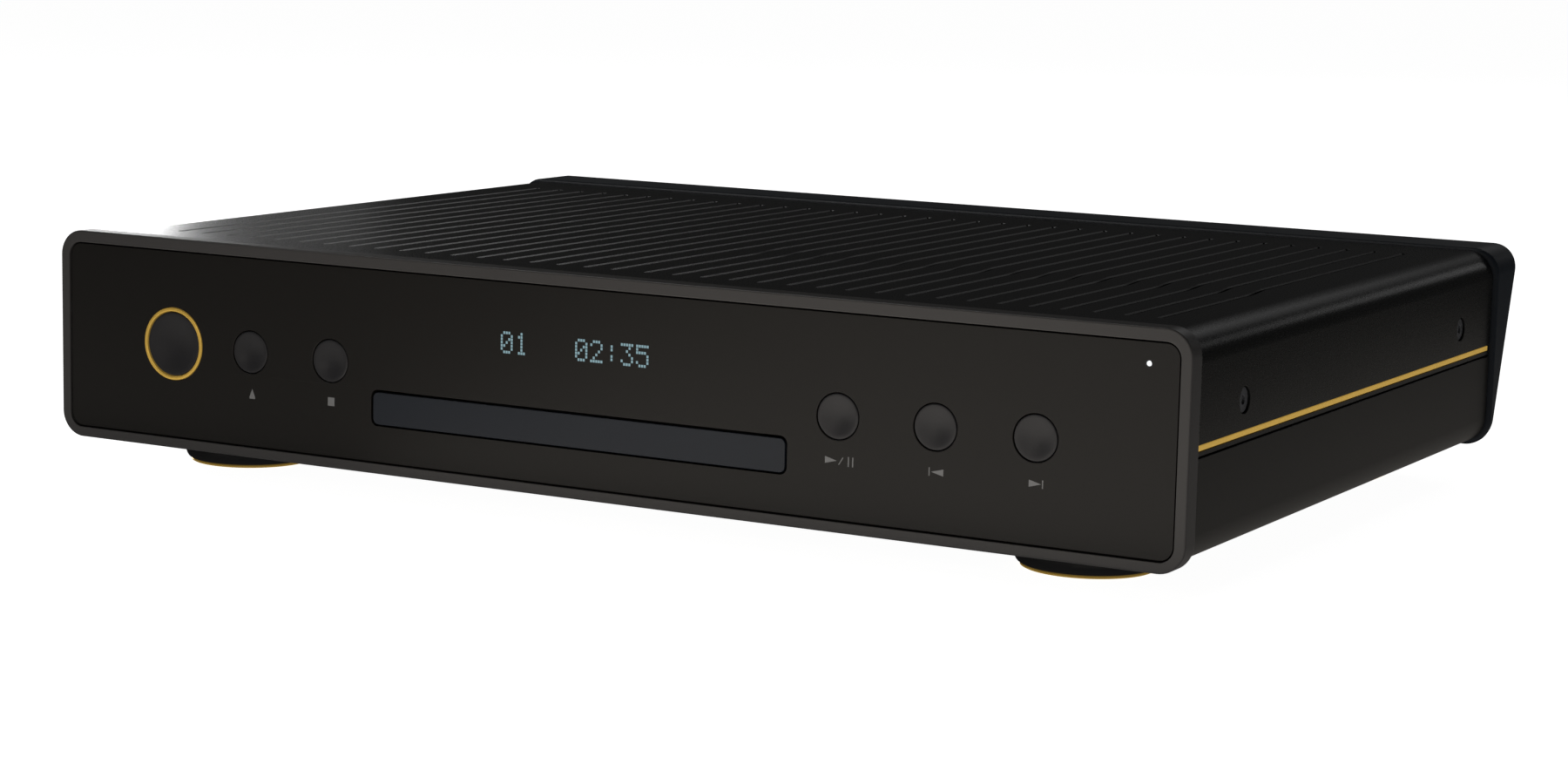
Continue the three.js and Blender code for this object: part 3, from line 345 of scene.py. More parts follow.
def plate(name, outer, holes, profile, material, axis="Y", sharp=35, lean=None):
    """Closed plate: outlines pulled along an axis through a profile of (inset, depth).

    A hole is an outline, or an outline with a profile of its own.
    """
    to_row = TO_ROW[axis]
    walls = [(outer, profile)]
    for item in holes:
        outline, own_profile = item if isinstance(item, tuple) else (item, profile)
        walls.append((hole(outline), own_profile))
    points, faces = [], []
    caps = {"front": [], "back": []}
    for outline, rows in walls:
        base = len(points)
        count = len(outline(0))
        for row, (inset, depth) in enumerate(rows):
            ring = outline(inset)
            if row == 0:
                caps["front"].append((len(points), ring))
            if row == len(rows) - 1:
                caps["back"].append((len(points), ring))
            for u, v in ring:
                w = depth + (lean(v) if lean and row >= len(rows) / 2 else 0)
                points.append(to_row(u, v, w))
        faces += grid_faces(count, len(rows), base)
    for rings in caps.values():
        starts = [start + i for start, ring in rings for i in range(len(ring))]
        loops = [[Vector((u, v, 0)) for u, v in ring] for _, ring in rings]
        faces += [tuple(starts[i] for i in tri) for tri in tessellate_polygon(loops)]
    return make_mesh(name, points, faces, material, sharp)


def turned(name, profile, material, centre, axis="Y", steps=64, sharp=35, keep_origin=False):
    """Turn a profile of (radius, place along the axis) about an axis; closes on the axis or on itself."""
    points, faces = [], []
    to_row = TO_ROW[axis]
    cu, cv = centre
    rows = []
    for radius, depth in profile:
        if radius < 1e-6:
            rows.append([len(points)])
            points.append(to_row(cu, cv, depth))
            continue
        rows.append(list(range(len(points), len(points) + steps)))
        points += [to_row(u, v, depth) for u, v in arc(cu, cv, radius, 0, 2 * math.pi, steps)[:-1]]
    on_axis = profile[0][0] < 1e-6 and profile[-1][0] < 1e-6
    pairs = list(zip(rows, rows[1:])) + ([] if on_axis else [(rows[-1], rows[0])])
    for first, second in pairs:
        for i in range(steps):
            j = (i + 1) % steps
            corners = [first[i % len(first)], first[j % len(first)]]
            corners += [second[j % len(second)], second[i % len(second)]]
            corners = list(dict.fromkeys(corners))
            if len(corners) > 2:
                faces.append(tuple(corners))
    origin = (0, 0, 0)
    if keep_origin:
        origin = to_row(cu, cv, profile[0][1])
    return make_mesh(name, points, faces, material, sharp, origin)


def block(name, box, material, edge=0.3):
    """Box with softened edges: (left, right, front, rear, bottom, top)."""
    left, right, front, rear, bottom, top = box
    return plate(name, rounded(left, right, front, rear, edge * 1.5, 3), [],
                 soft_profile(bottom, top, edge, 2), material, "Z")


def join(name, pieces):
    """Make one object of several, keeping the first one's material."""
    shape = bmesh.new()
    for piece in pieces:
        piece.data.transform(piece.matrix_world)
        shape.from_mesh(piece.data)
    mesh = bpy.data.meshes.new(name)
    shape.to_mesh(mesh)
    shape.free()
    material = pieces[0].data.materials[0]
    for piece in pieces:
        bpy.data.objects.remove(piece)
    obj = bpy.data.objects.new(name, mesh)
    bpy.context.scene.collection.objects.link(obj)
    mesh.materials.append(material)
    finish_mesh(obj)
    return obj


def cut(obj, cutters):
    """Subtract closed cutter objects from obj and drop them."""
    obj.modifiers.clear()
    for cutter in cutters:
        cutter.modifiers.clear()
        difference = obj.modifiers.new("cut", "BOOLEAN")
        difference.operation = "DIFFERENCE"
        difference.solver = "EXACT"
        difference.object = cutter
    graph = bpy.context.evaluated_depsgraph_get()
    mesh = bpy.data.meshes.new_from_object(obj.evaluated_get(graph))
    material = obj.data.materials[0]
    obj.modifiers.clear()
    obj.data = mesh
    mesh.materials.clear()
    mesh.materials.append(material)
    for cutter in cutters:
        bpy.data.objects.remove(cutter)
    finish_mesh(obj)
    return obj


# ------------------------------------------------------------------ shells

BEZEL_CORNER = 9.0
OPENING_SIDE = 3.7
OPENING_BOTTOM = 3.5
OPENING_TOP = 4.1
OPENING_CORNER = 5.0
REAR_FACE = 4.1
BODY_CORNER = 10.0
SHEET = 1.6


def opening_outline(inset):
    """Opening of the front bezel, or the plate inside it when inset."""
    return rounded(BEZEL.left + OPENING_SIDE + inset, BEZEL.right - OPENING_SIDE - inset,
                   BEZEL.bottom + OPENING_BOTTOM + inset, BEZEL.top - OPENING_TOP - inset,
                   OPENING_CORNER - inset, 14)


def make_front_bezel():
    """Deep rounded frame round the front, with a crisp opening."""
    opening = (opening_outline(0), soft_profile(BEZEL.front, BEZEL.rear, 0.2, 2))
    outer = rounded(BEZEL.left, BEZEL.right, BEZEL.bottom, BEZEL.top, BEZEL_CORNER, 14)
    ring = plate("front_bezel_ring", outer, [opening],
                 soft_profile(BEZEL.front, BEZEL.rear, 0.6, 4, 0.9), BEZEL_FINISH)
    settle(ring, "case", ["front_bezel"])


DOOR_GAP_SIDE = 0.8
DOOR_GAP_BOTTOM = 0.6
DOOR_GAP_TOP = 0.9
DOOR_HOLE_CORNER = 2.6
BUTTON_GAP = 0.25
LIGHT_GAP = 0.12
RING_GAP = 0.15


def make_fascia():
    """Plate inside the bezel, with holes for the drawer, the light, the power ring and the buttons."""
    inset = FASCIA.left - BEZEL.left - OPENING_SIDE
    crisp = soft_profile(FASCIA.front, FASCIA.rear, 0.12, 2)
    chamfer = soft_profile(FASCIA.front, FASCIA.rear, 0.3, 3, 0.1)
    door = rounded(DOOR.left - DOOR_GAP_SIDE, DOOR.right + DOOR_GAP_SIDE, DOOR.bottom - DOOR_GAP_BOTTOM,
                   DOOR.top + DOOR_GAP_TOP, DOOR_HOLE_CORNER, 6)
    led = Extent("led_light_pipe")
    ring = Extent("power_ring")
    holes = [
        (door, crisp),
        (circle(led.x, led.z, (led.right - led.left) / 2 + LIGHT_GAP, 24), crisp),
        (circle(ring.x, ring.z, (ring.right - ring.left) / 2 + RING_GAP, 72), crisp),
    ]
    for name in SMALL_BUTTONS:
        button = Extent(name)
        holes.append((circle(button.x, button.z, SMALL_RADIUS + BUTTON_GAP, 64), chamfer))
    panel = plate("fascia_panel", opening_outline(inset), holes,
                  soft_profile(FASCIA.front, FASCIA.rear, 0.15, 2, 0.1), FASCIA_FINISH)
    settle(panel, "case", ["fascia_plate"])


GROOVE_DEPTH = 0.9
GROOVE_GAP = 0.25
SEAT_RADIUS = 4.3
SEAT_DEPTH = 4.0
SEAT_CHAMFER = 0.15
CUT_PAST = 2.0
SLOT_COUNT = 36
SLOT_PITCH = 10.78
SLOT_HALF = 0.7
SLOT_EDGE = 0.45
EDGE_EASE = 0.35
SLOT_FRONT = FRONT + 32.5
SLOT_REAR = FRONT + 264.4
JOG_FRONT = FRONT + 104
JOG_REAR = FRONT + 126
JOG_SHIFT = 2.2


def jog_at(index, y):
    """Sideways step of a slot's centre line: nothing on the left half, a soft step on the right."""
    if index < SLOT_COUNT / 2:
        return 0.0
    t = min(max((JOG_REAR - y) / (JOG_REAR - JOG_FRONT), 0.0), 1.0)
    return JOG_SHIFT * t * t * (3 - 2 * t)


def slot_half_at(y):
    """Half width of a slot with round ends; full width where there is no slot."""
    reach = min(y - SLOT_FRONT, SLOT_REAR - y)
    if reach < -1e-6 or reach > SLOT_HALF:
        return SLOT_HALF
    return max(math.sqrt(max(SLOT_HALF ** 2 - (SLOT_HALF - reach) ** 2, 0)), 0.12)


def cover_rows():
    """Places along Y that carry a row of points: ends, slot ends and the step."""
    end_steps = [0.0, 0.08, 0.25, 0.45, SLOT_HALF]
    rows = [COVER.front, COVER.front + 4, SLOT_FRONT - 1.5, SLOT_FRONT - SLOT_EDGE]
    rows += [SLOT_FRONT + s for s in end_steps]
    rows += [SLOT_FRONT + 20, JOG_FRONT - 8]
    rows += [JOG_FRONT + (JOG_REAR - JOG_FRONT) * i / 12 for i in range(13)]
    rows += [JOG_REAR + 8, JOG_REAR + 60]
    rows += [SLOT_REAR - s for s in reversed(end_steps)]
    rows += [SLOT_REAR + SLOT_EDGE, SLOT_REAR + 1.5, COVER.rear - 4, COVER.rear]
    return rows


def cover_columns():
    """Columns across the cover, from the left lower edge to the right one.

    ("fixed", x, z, outward x, outward z) on the sides and bends, ("slot", index, side, offset) on the top.
    """
    turn_x, turn_z = COVER.right - BODY_CORNER, COVER.top - BODY_CORNER
    wall = [
        ("fixed", COVER.right - EDGE_EASE, COVER.bottom, 1, 0.0),
        ("fixed", COVER.right, COVER.bottom + EDGE_EASE, 1, 0.0),
        ("fixed", COVER.right, turn_z - 8, 1, 0.0),
    ]
    for x, z in arc(0, 0, 1, 0, QUARTER, 14):
        wall.append(("fixed", turn_x + BODY_CORNER * x, turn_z + BODY_CORNER * z, x, z))
    columns = [(kind, -x, z, -nx, nz) for kind, x, z, nx, nz in wall]
    for index in range(SLOT_COUNT):
        for side, offset in ((-1, SLOT_EDGE), (-1, 0.0), (1, 0.0), (1, SLOT_EDGE)):
            columns.append(("slot", index, side, offset))
    return columns + wall[::-1]


def cover_point(column, y, inner):
    """Place of a column's point at y, on the outer or the inner face of the sheet."""
    if column[0] == "fixed":
        _, x, z, nx, nz = column
        if inner:
            return (x - nx * SHEET, y, z - nz * SHEET)
        return (x, y, z)
    _, index, side, offset = column
    x = (index - (SLOT_COUNT - 1) / 2) * SLOT_PITCH + jog_at(index, y) + side * (slot_half_at(y) + offset)
    on_edge = offset == 0.0 and SLOT_FRONT - 1e-6 <= y <= SLOT_REAR + 1e-6
    z = COVER.top
    if inner:
        z -= SHEET
    elif on_edge:
        z -= SLOT_EDGE
    return (x, y, z)


def make_cover():
    """U-shaped sheet with slots cut as gaps in the grid of faces and walls through the sheet."""
    rows, columns = cover_rows(), cover_columns()
    wide, deep = len(columns), len(rows)
    points = [cover_point(c, y, False) for y in rows for c in columns]
    points += [cover_point(c, y, True) for y in rows for c in columns]
    layer = wide * deep

    def open_gap(k, r):
        """True where the quad right of column k, behind row r, is the open slot."""
        column = columns[k]
        if column[0] != "slot" or column[2] != -1 or column[3] != 0.0:
            return False
        middle = (rows[r] + rows[r + 1]) / 2
        return SLOT_FRONT < middle < SLOT_REAR

    faces = []
    for r in range(deep - 1):
        for k in range(wide - 1):
            a, b = r * wide + k, r * wide + k + 1
            if not open_gap(k, r):
                faces.append((a, b, b + wide, a + wide))
                faces.append((layer + a, layer + a + wide, layer + b + wide, layer + b))
                continue
            for edge in (a, b):
                faces.append((edge, edge + wide, layer + edge + wide, layer + edge))
            if not open_gap(k, r - 1):
                faces.append((a, b, layer + b, layer + a))
            if not open_gap(k, r + 1):
                faces.append((a + wide, b + wide, layer + b + wide, layer + a + wide))
    for k in range(wide - 1):
        for a in (k, (deep - 1) * wide + k):
            faces.append((a, a + 1, layer + a + 1, layer + a))
    for r in range(deep - 1):
        for a in (r * wide, r * wide + wide - 1):
            faces.append((a, a + wide, layer + a + wide, layer + a))
    cover = make_mesh("cover_shell", points, faces, PAINT, 40)
    cut(cover, side_cutters())
    settle(cover, "case", ["top_cover"])


def side_cutters():
    """Screw seats and strip grooves to be cut out of the cover's sides."""
    cutters = []
    mouth = SEAT_RADIUS + 2 * SEAT_CHAMFER
    for side, sign in SIDES:
        for place in ENDS:
            screw = Extent(f"cover_screw_{side}_{place}")
            wall = COVER.right * sign
            profile = [(0, wall - SEAT_DEPTH * sign), (SEAT_RADIUS, wall - SEAT_DEPTH * sign),
                       (SEAT_RADIUS, wall - SEAT_CHAMFER * sign), (mouth, wall + SEAT_CHAMFER * sign),
                       (mouth, wall + CUT_PAST * sign), (0, wall + CUT_PAST * sign)]
            cutters.append(turned("cutter", profile, PAINT, (screw.y, screw.z), "X", 40))
        strip = Extent(f"accent_strip_{side}")
        groove = sorted((sign * (COVER.right - GROOVE_DEPTH), sign * (COVER.right + CUT_PAST)))
        cutters.append(block("cutter", (*groove, COVER.front - CUT_PAST, COVER.rear + CUT_PAST,
                                        strip.bottom - GROOVE_GAP, strip.top + GROOVE_GAP), PAINT, 0.05))
    return cutters


SHELF_Z = 43.4
SHELF_EDGE = 0.15
FLANGE_TOP = 66.0
FLANGE_GAP = 0.3
CHASSIS_SHEET = 1.5
VENT_LEFTS = (-190, 110)
VENT_LENGTH = 30
VENT_WIDTH = 3
VENT_COUNT = 6
VENT_PITCH = 10
VENT_START = FRONT + 76
POWER_HOLE = 12.8
BUTTON_HOLE = 8.3
POST_RADIUS = 3.5
POST_EDGE = 0.4
POST_INSET = 6


def make_chassis_tray():
    """Lower tray: floor with vents, rounded lower edges, and flanges that the cover closes over."""
    half, base = CHASSIS.right, CHASSIS.bottom
    sheet = CHASSIS_SHEET
    flange = half - SHEET - FLANGE_GAP
    cx, cz = half - BODY_CORNER, base + BODY_CORNER
    fine = 16
    right = (
        arc(cx, cz, BODY_CORNER, -QUARTER, 0, fine)
        + [(half, SHELF_Z - SHELF_EDGE), (half - SHELF_EDGE, SHELF_Z)]
        + [(flange, SHELF_Z), (flange, FLANGE_TOP)]
        + [(flange - sheet, FLANGE_TOP), (flange - sheet, SHELF_Z - sheet), (half - sheet, SHELF_Z - sheet)]
        + arc(cx, cz, BODY_CORNER - sheet, 0, -QUARTER, fine)
    )
    outline = right + [(-x, z) for x, z in reversed(right)]
    shell = plate("chassis_tray", polygon(outline), [], [(0, CHASSIS.front), (0, CHASSIS.rear)],
                  CHASSIS_PAINT)
    vents = []
    for x in VENT_LEFTS:
        for i in range(VENT_COUNT):
            y = VENT_START + VENT_PITCH * i
            vents.append(block("cutter", (x - 1, x + VENT_LENGTH, y, y + VENT_WIDTH, base - 2, base + 4),
                               PAINT, 0.4))
    return cut(shell, vents)


def make_chassis_wall():
    """Front wall behind the fascia, with holes for the drawer, the display and the button stems."""
    inner = CHASSIS.right - SHEET - 2 * FLANGE_GAP
    door_hole = rounded(DOOR.left - 2.4, DOOR.right + 2.4, DOOR.bottom - 1.7, DOOR.top + 2.6, 2, 3)
    display = Extent("display_module")
    window = rounded(display.left - 2, display.right + 2, display.bottom - 2, display.top + 1.5, 1, 3)
    holes = [door_hole, window]
    power = Extent("power_button")
    holes.append(circle(power.x, power.z, POWER_HOLE))
    for name in SMALL_BUTTONS:
        button = Extent(name)
        holes.append(circle(button.x, button.z, BUTTON_HOLE, 32))
    wall_front = CHASSIS.front + 0.02
    outline = rounded(-inner, inner, CHASSIS.bottom + 0.4, COVER.top - SHEET - 0.4, 9, 8)
    return plate("wall", outline, holes, [(0, wall_front), (0, wall_front + CHASSIS_SHEET)],
                 CHASSIS_PAINT)


def make_board_posts():
    """Round posts under the corners of the two boards."""
    posts = []
    low = CHASSIS.bottom + 1
    for board in ("power_board", "main_board"):
        box = Extent(board)
        top = box.bottom - 0.3
        profile = [(0, low), (POST_RADIUS, low), (POST_RADIUS, top - POST_EDGE),
                   (POST_RADIUS - POST_EDGE, top), (0, top)]
        for x in (box.left + POST_INSET, box.right - POST_INSET):
            for y in (box.front + POST_INSET, box.rear - POST_INSET):
                posts.append(turned("post", profile, CHASSIS_PAINT, (x, y), "Z", 24))
    return posts


def make_chassis():
    """Chassis as one piece: tray, front wall and board posts."""
    whole = join("chassis_shell", [make_chassis_tray(), make_chassis_wall()] + make_board_posts())
    settle(whole, "case", ["chassis"])


def make_strips():
    """Gold strips in the grooves of the cover's sides."""
    for side, _ in SIDES:
        strip = Extent(f"accent_strip_{side}")
        section = rounded(strip.left, strip.right, strip.bottom, strip.top, 0.2, 4)
        ends = [(0.2, strip.front), (0, strip.front + 0.2), (0, strip.rear - 0.2), (0.2, strip.rear)]
        piece = plate(f"side_strip_{side}", section, [], ends, STRIP_GOLD)
        settle(piece, "case", [f"accent_strip_{side}"])


OVERHANG = 23.4
REAR_CORNER = 9.5
REAR_LIP = 1.75
REAR_ROUND = 2.0
LEAN_BULGE = 0.09


def make_rear_bezel():
    """Ring with a leaning rear face, a soft lip at its front edge and a rounder rear edge."""
    box = REAR_BEZEL
    height = box.top - box.bottom

    def lean(z):
        return (z - (box.top - REAR_ROUND)) / height * OVERHANG

    outer = rounded(box.left, box.right, box.bottom, box.top, REAR_CORNER, 14)
    inner = rounded(box.left + REAR_FACE, box.right - REAR_FACE, box.bottom + REAR_FACE, box.top - REAR_FACE,
                    REAR_CORNER - REAR_FACE, 14)
    ring = plate("rear_bezel_ring", outer, [(inner, soft_profile(box.front, box.rear, 0.4, 3))],
                 soft_profile(box.front, box.rear - LEAN_BULGE, REAR_LIP, 5, REAR_ROUND), REAR_FINISH,
                 lean=lean)
    settle(ring, "case", ["rear_bezel"])


RING_INSET = 0.4
FOOT_CURVE_HEIGHT = 3.6
FOOT_CURVE_STEPS = 8
FOOT_EDGE = 0.8
TRIM_WIDTH = 3.4
PAD_EDGE = 0.3


def foot_profile(foot, waist):
    """Foot from its ring upwards: a curve out to the full radius, then straight to a chamfer."""
    radius = (foot.right - foot.left) / 2
    profile = [(0, foot.bottom), (waist, foot.bottom)]
    for i in range(1, FOOT_CURVE_STEPS + 1):
        angle = QUARTER * i / FOOT_CURVE_STEPS
        profile.append((waist + (radius - waist) * math.sin(angle),
                        foot.bottom + FOOT_CURVE_HEIGHT * (1 - math.cos(angle))))
    return profile + [(radius, foot.top - FOOT_EDGE), (radius - FOOT_EDGE, foot.top), (0, foot.top)]


def make_feet():
    """Four round feet, each with its gold ring and its rubber pad."""
    for place in ENDS:
        for side, _ in SIDES:
            foot = Extent(f"foot_{place}_{side}")
            ring = Extent(f"foot_ring_{place}_{side}")
            pad = Extent(f"foot_pad_{place}_{side}")
            waist = (ring.right - ring.left) / 2 - RING_INSET
            body = turned(f"foot_body_{place}_{side}", foot_profile(foot, waist), FOOT_FINISH,
                          (foot.x, foot.y), "Z", 96)
            settle(body, "case", [f"foot_{place}_{side}"])
            trim = [(waist - TRIM_WIDTH, ring.bottom), (waist - 0.1, ring.bottom),
                    (waist + 0.3, ring.bottom + 0.2), (waist + RING_INSET, ring.top - 0.1),
                    (waist + 0.3, ring.top), (waist - TRIM_WIDTH, ring.top)]
            gold = turned(f"foot_trim_{place}_{side}", trim, GOLD, (ring.x, ring.y), "Z", 96)
            settle(gold, "case", [f"foot_ring_{place}_{side}"])
            size = (pad.right - pad.left) / 2
            soft = [(0, pad.bottom), (size - PAD_EDGE, pad.bottom), (size, pad.bottom + PAD_EDGE),
                    (size, pad.top), (0, pad.top)]
            rubber = turned(f"foot_rubber_{place}_{side}", soft, RUBBER, (pad.x, pad.y), "Z", 64)
            settle(rubber, "case", [f"foot_pad_{place}_{side}"])


# Head and shank of a side screw: (radius, depth below the head's outer face).
SCREW_PROFILE = (
    (0, 0.7), (1.4, 0.7), (1.4, 0.12), (1.52, 0.0), (3.7, 0.0), (3.92, 0.08), (4.0, 0.3), (4.0, 1.0),
    (1.5, 1.0),
)


def make_side_screws():
    """Socket-head screws in the cover's sides."""
    for side, sign in SIDES:
        for place in ENDS:
            node = f"cover_screw_{side}_{place}"
            box = Extent(node)
            outer = box.right if sign > 0 else box.left
            inner = box.left if sign > 0 else box.right
            profile = [(radius, outer - depth * sign) for radius, depth in SCREW_PROFILE]
            profile += [(SCREW_PROFILE[-1][0], inner), (0, inner)]
            screw = turned(f"side_screw_{side}_{place}", profile, SCREW_FINISH, (box.y, box.z), "X", 36)
            settle(screw, "case", [node])


# ------------------------------------------------------------------ front controls


CAP_RIM = 0.7
CAP_BEND = 0.45
CAP_PROUD = 0.25
CAP_DEPTH = 7.5
FLANGE_WIDTH = 0.9
FLANGE_DEPTH = 1
STEM_RADIUS = 2.2


def dish(radius, rim, depth):
    """Profile of a dished cap from its middle to its rounded rim."""
    steps = 16
    flat = radius - CAP_RIM
    hollow = [(flat * i / steps, rim + depth * (1 - (i / steps) ** 2) ** 1.5) for i in range(steps)]
    edge = [(flat, rim)] + arc(radius - CAP_BEND, rim + CAP_BEND, CAP_BEND, -QUARTER, 0, 5)
    return hollow + edge


def make_button(node, radius, name, depth):
    """Cap with a shallow dish, a flange behind it that holds it in, and its stem."""
    box = Extent(node)
    rim = box.front - CAP_PROUD
    lip = box.front + CAP_DEPTH
    back = lip + FLANGE_DEPTH
    profile = dish(radius, rim, depth)
    profile += [(radius, lip), (radius + FLANGE_WIDTH, lip), (radius + FLANGE_WIDTH, back),
                (STEM_RADIUS, back), (STEM_RADIUS, box.rear), (0, box.rear)]
    cap = turned(name, profile, BUTTON_FINISH, (box.x, box.z), "Y", 96, 40, keep_origin=True)
    settle(cap, node, [node])


POWER_DISH = 1.2
SMALL_DISH = 0.9
RING_WIDTH = 1.3


def make_power_ring():
    """Gold trim ring with softened front edges."""
    ring = Extent("power_ring")
    outer = (ring.right - ring.left) / 2
    inner = outer - RING_WIDTH
    profile = [(inner, ring.rear), (inner, ring.front + 0.3), (inner + 0.1, ring.front + 0.1),
               (inner + 0.3, ring.front), (outer - 0.3, ring.front), (outer - 0.1, ring.front + 0.1),
               (outer, ring.front + 0.3), (outer, ring.rear)]
    piece = turned("power_trim", profile, GOLD, (ring.x, ring.z), "Y", 96)
    settle(piece, "case", ["power_ring"])


def make_status_light():
    """Lit end of the light pipe, slightly domed."""
    led = Extent("led_light_pipe")
    radius = (led.right - led.left) / 2
    dome = [(0, led.front), (radius * 0.5, led.front + 0.05), (radius * 0.85, led.front + 0.2),
            (radius, led.front + 0.5), (radius, led.rear), (0, led.rear)]
    piece = turned("status_light", dome, LED_GLOW, (led.x, led.z), "Y", 32)
    settle(piece, "case", ["led_light_pipe"])


def make_controls():
    """Buttons, power ring, status light and drawer front."""
    make_button("power_button", POWER_RADIUS, "power_cap", POWER_DISH)
    for node in SMALL_BUTTONS:
        make_button(node, SMALL_RADIUS, node.replace("_button", "_cap"), SMALL_DISH)
    make_power_ring()
    make_status_light()
    front = plate("drawer_front", rounded(DOOR.left, DOOR.right, DOOR.bottom, DOOR.top, 2.0, 8), [],
                  soft_profile(DOOR.front, DOOR.rear, 0.2), DOOR_FINISH)
    settle(front, "tray", ["tray_door"])


# ------------------------------------------------------------------ printed marks and display

MARK_Z = 32.6
PRINT_DEPTH = 0.02


def flat_marks(name, outlines, material):
    """Thin flat shapes on the fascia's face, joined in one piece."""
    parts = []
    for points in outlines:
        parts.append(plate("mark", polygon(points), [],
                           [(0, FASCIA.front - PRINT_DEPTH), (0, FASCIA.front + 0.05)], material))
    return settle(join(name, parts), "case", ())


def bar(left, right, height, slant=0.0):
    """Upright bar centred on the line of marks; a slant leans it to the right."""
    low, high = MARK_Z - height / 2, MARK_Z + height / 2
    return [(left, low), (right, low), (right + slant, high), (left + slant, high)]


def pointer(base, tip, height):
    """Triangle on the line of marks, from its base to its tip."""
    return [(base, MARK_Z - height / 2), (tip, MARK_Z), (base, MARK_Z + height / 2)]


EJECT_X = -130.7
EJECT_HALF = 1.2


def make_marks():
    """Usual transport symbols under the small buttons."""
    left, right = EJECT_X - EJECT_HALF, EJECT_X + EJECT_HALF
    flat_marks("mark_eject", [
        [(left, 31.0), (right, 31.0), (EJECT_X, 33.9)],
        [(left, 30.4), (right, 30.4), (right, 31.0), (left, 31.0)],
    ], PRINT)
    flat_marks("mark_stop", [bar(-98.4, -95.6, 2.9)], PRINT)
    flat_marks("mark_play_pause", [
        pointer(93.9, 98.1, 2.2),
        bar(98.6, 98.95, 2.4, slant=1.5),
        bar(102.0, 102.4, 3.1),
        bar(103.5, 103.9, 3.1),
    ], PRINT)
    flat_marks("mark_previous", [bar(130.1, 130.45, 2.6), pointer(135.1, 130.9, 2.2)], PRINT)
    flat_marks("mark_next", [pointer(163.9, 168.0, 2.2), bar(168.3, 168.65, 2.6)], PRINT)


# Five-by-seven dot patterns, one text row per display row.
DOT_DIGITS = {
    "0": (".###.", "#...#", "#..##", "#.#.#", "##..#", "#...#", ".###."),
    "1": ("..#..", ".##..", "..#..", "..#..", "..#..", "..#..", ".###."),
    "2": (".###.", "#...#", "....#", "...#.", "..#..", ".#...", "#####"),
    "3": ("#####", "...#.", "..#..", "...#.", "....#", "#...#", ".###."),
    "5": ("#####", "#....", "####.", "....#", "....#", "#...#", ".###."),
    ":": (".....", "..#..", "..#..", ".....", "..#..", "..#..", "....."),
    " ": (".....",) * 7,
}


DISPLAY_TEXT = "01   02:35"
TEXT_LEFT = -28.0
TEXT_BOTTOM = 55.4
LETTER_PITCH = 5.8
DOT_PITCH_X = 0.98
DOT_PITCH_Z = 1.06
DOT_HALF_X = 0.37
DOT_HALF_Z = 0.43


def make_display():
    """Track and time in glowing dots on the fascia, inside the display module's width."""
    outlines = []
    for place, letter in enumerate(DISPLAY_TEXT):
        for row, line in enumerate(DOT_DIGITS[letter]):
            for column, mark in enumerate(line):
                if mark != "#":
                    continue
                x = TEXT_LEFT + place * LETTER_PITCH + column * DOT_PITCH_X + DOT_HALF_X
                z = TEXT_BOTTOM + (len(DOT_DIGITS[letter]) - 1 - row) * DOT_PITCH_Z + DOT_HALF_Z
                outlines.append([(x - DOT_HALF_X, z - DOT_HALF_Z), (x + DOT_HALF_X, z - DOT_HALF_Z),
                                 (x + DOT_HALF_X, z + DOT_HALF_Z), (x - DOT_HALF_X, z + DOT_HALF_Z)])
    flat_marks("display_dots", outlines, DIGIT_GLOW)


# ------------------------------------------------------------------ back


SOCKET_Z = 40
SOCKET_HOLE = 4.8
SOCKET_INSET = 8
INLET_HALF = (13.7, 10.4)
OPTICAL_HALF = 5.2


def make_rear_panel():
    """Flat panel with holes for the sockets and the mains inlet."""
    analogue, coaxial = Extent("analogue_sockets"), Extent("coaxial_socket")
    centres = (analogue.left + SOCKET_INSET, analogue.right - SOCKET_INSET, coaxial.x)
    holes = [circle(x, SOCKET_Z, SOCKET_HOLE, 40) for x in centres]
    inlet = Extent("mains_inlet")
    half_x, half_z = INLET_HALF
    holes.append(rounded(inlet.x - half_x, inlet.x + half_x, inlet.z - half_z, inlet.z + half_z, 0.6, 3))
    optical = Extent("optical_socket")
    holes.append(rounded(optical.x - OPTICAL_HALF, optical.x + OPTICAL_HALF,
                         SOCKET_Z - OPTICAL_HALF, SOCKET_Z + OPTICAL_HALF, 0.3, 3))
    outer = rounded(REAR_PANEL.left, REAR_PANEL.right, REAR_PANEL.bottom, REAR_PANEL.top, 8)
    panel = plate("back_panel", outer, holes, soft_profile(REAR_PANEL.front, REAR_PANEL.rear, 0.2, 2),
                  CHASSIS_PAINT)
    settle(panel, "case", ["rear_panel"])


# ------------------------------------------------------------------ stage, light and camera

CAMERA_PLACE = Vector((580.6, FRONT - 896.4, 207.54)) * MM
CAMERA_YAW = math.radians(29.228)
CAMERA_PITCH = math.radians(8.585)
CAMERA_ROLL = math.radians(1.292)
CAMERA_LENS = 76.34
CAMERA_SENSOR = 36.0
CAMERA_REACH = 60
FLOOR_RADIUS = 14
FLOOR_SIDES = 64
FLOOR_GLOW = 0.97
FLOOR_GREYS = ((0.78, 0.78, 0.78), (0.80, 0.80, 0.80))
WORLD_LIGHT = 0.018
WARM = (1.0, 0.94, 0.86)
SHEET_Z = 0.004
MIDDLE = (0, 0, 0.05)
LEFT_REAR = (-0.1, 0.05, 0.05)


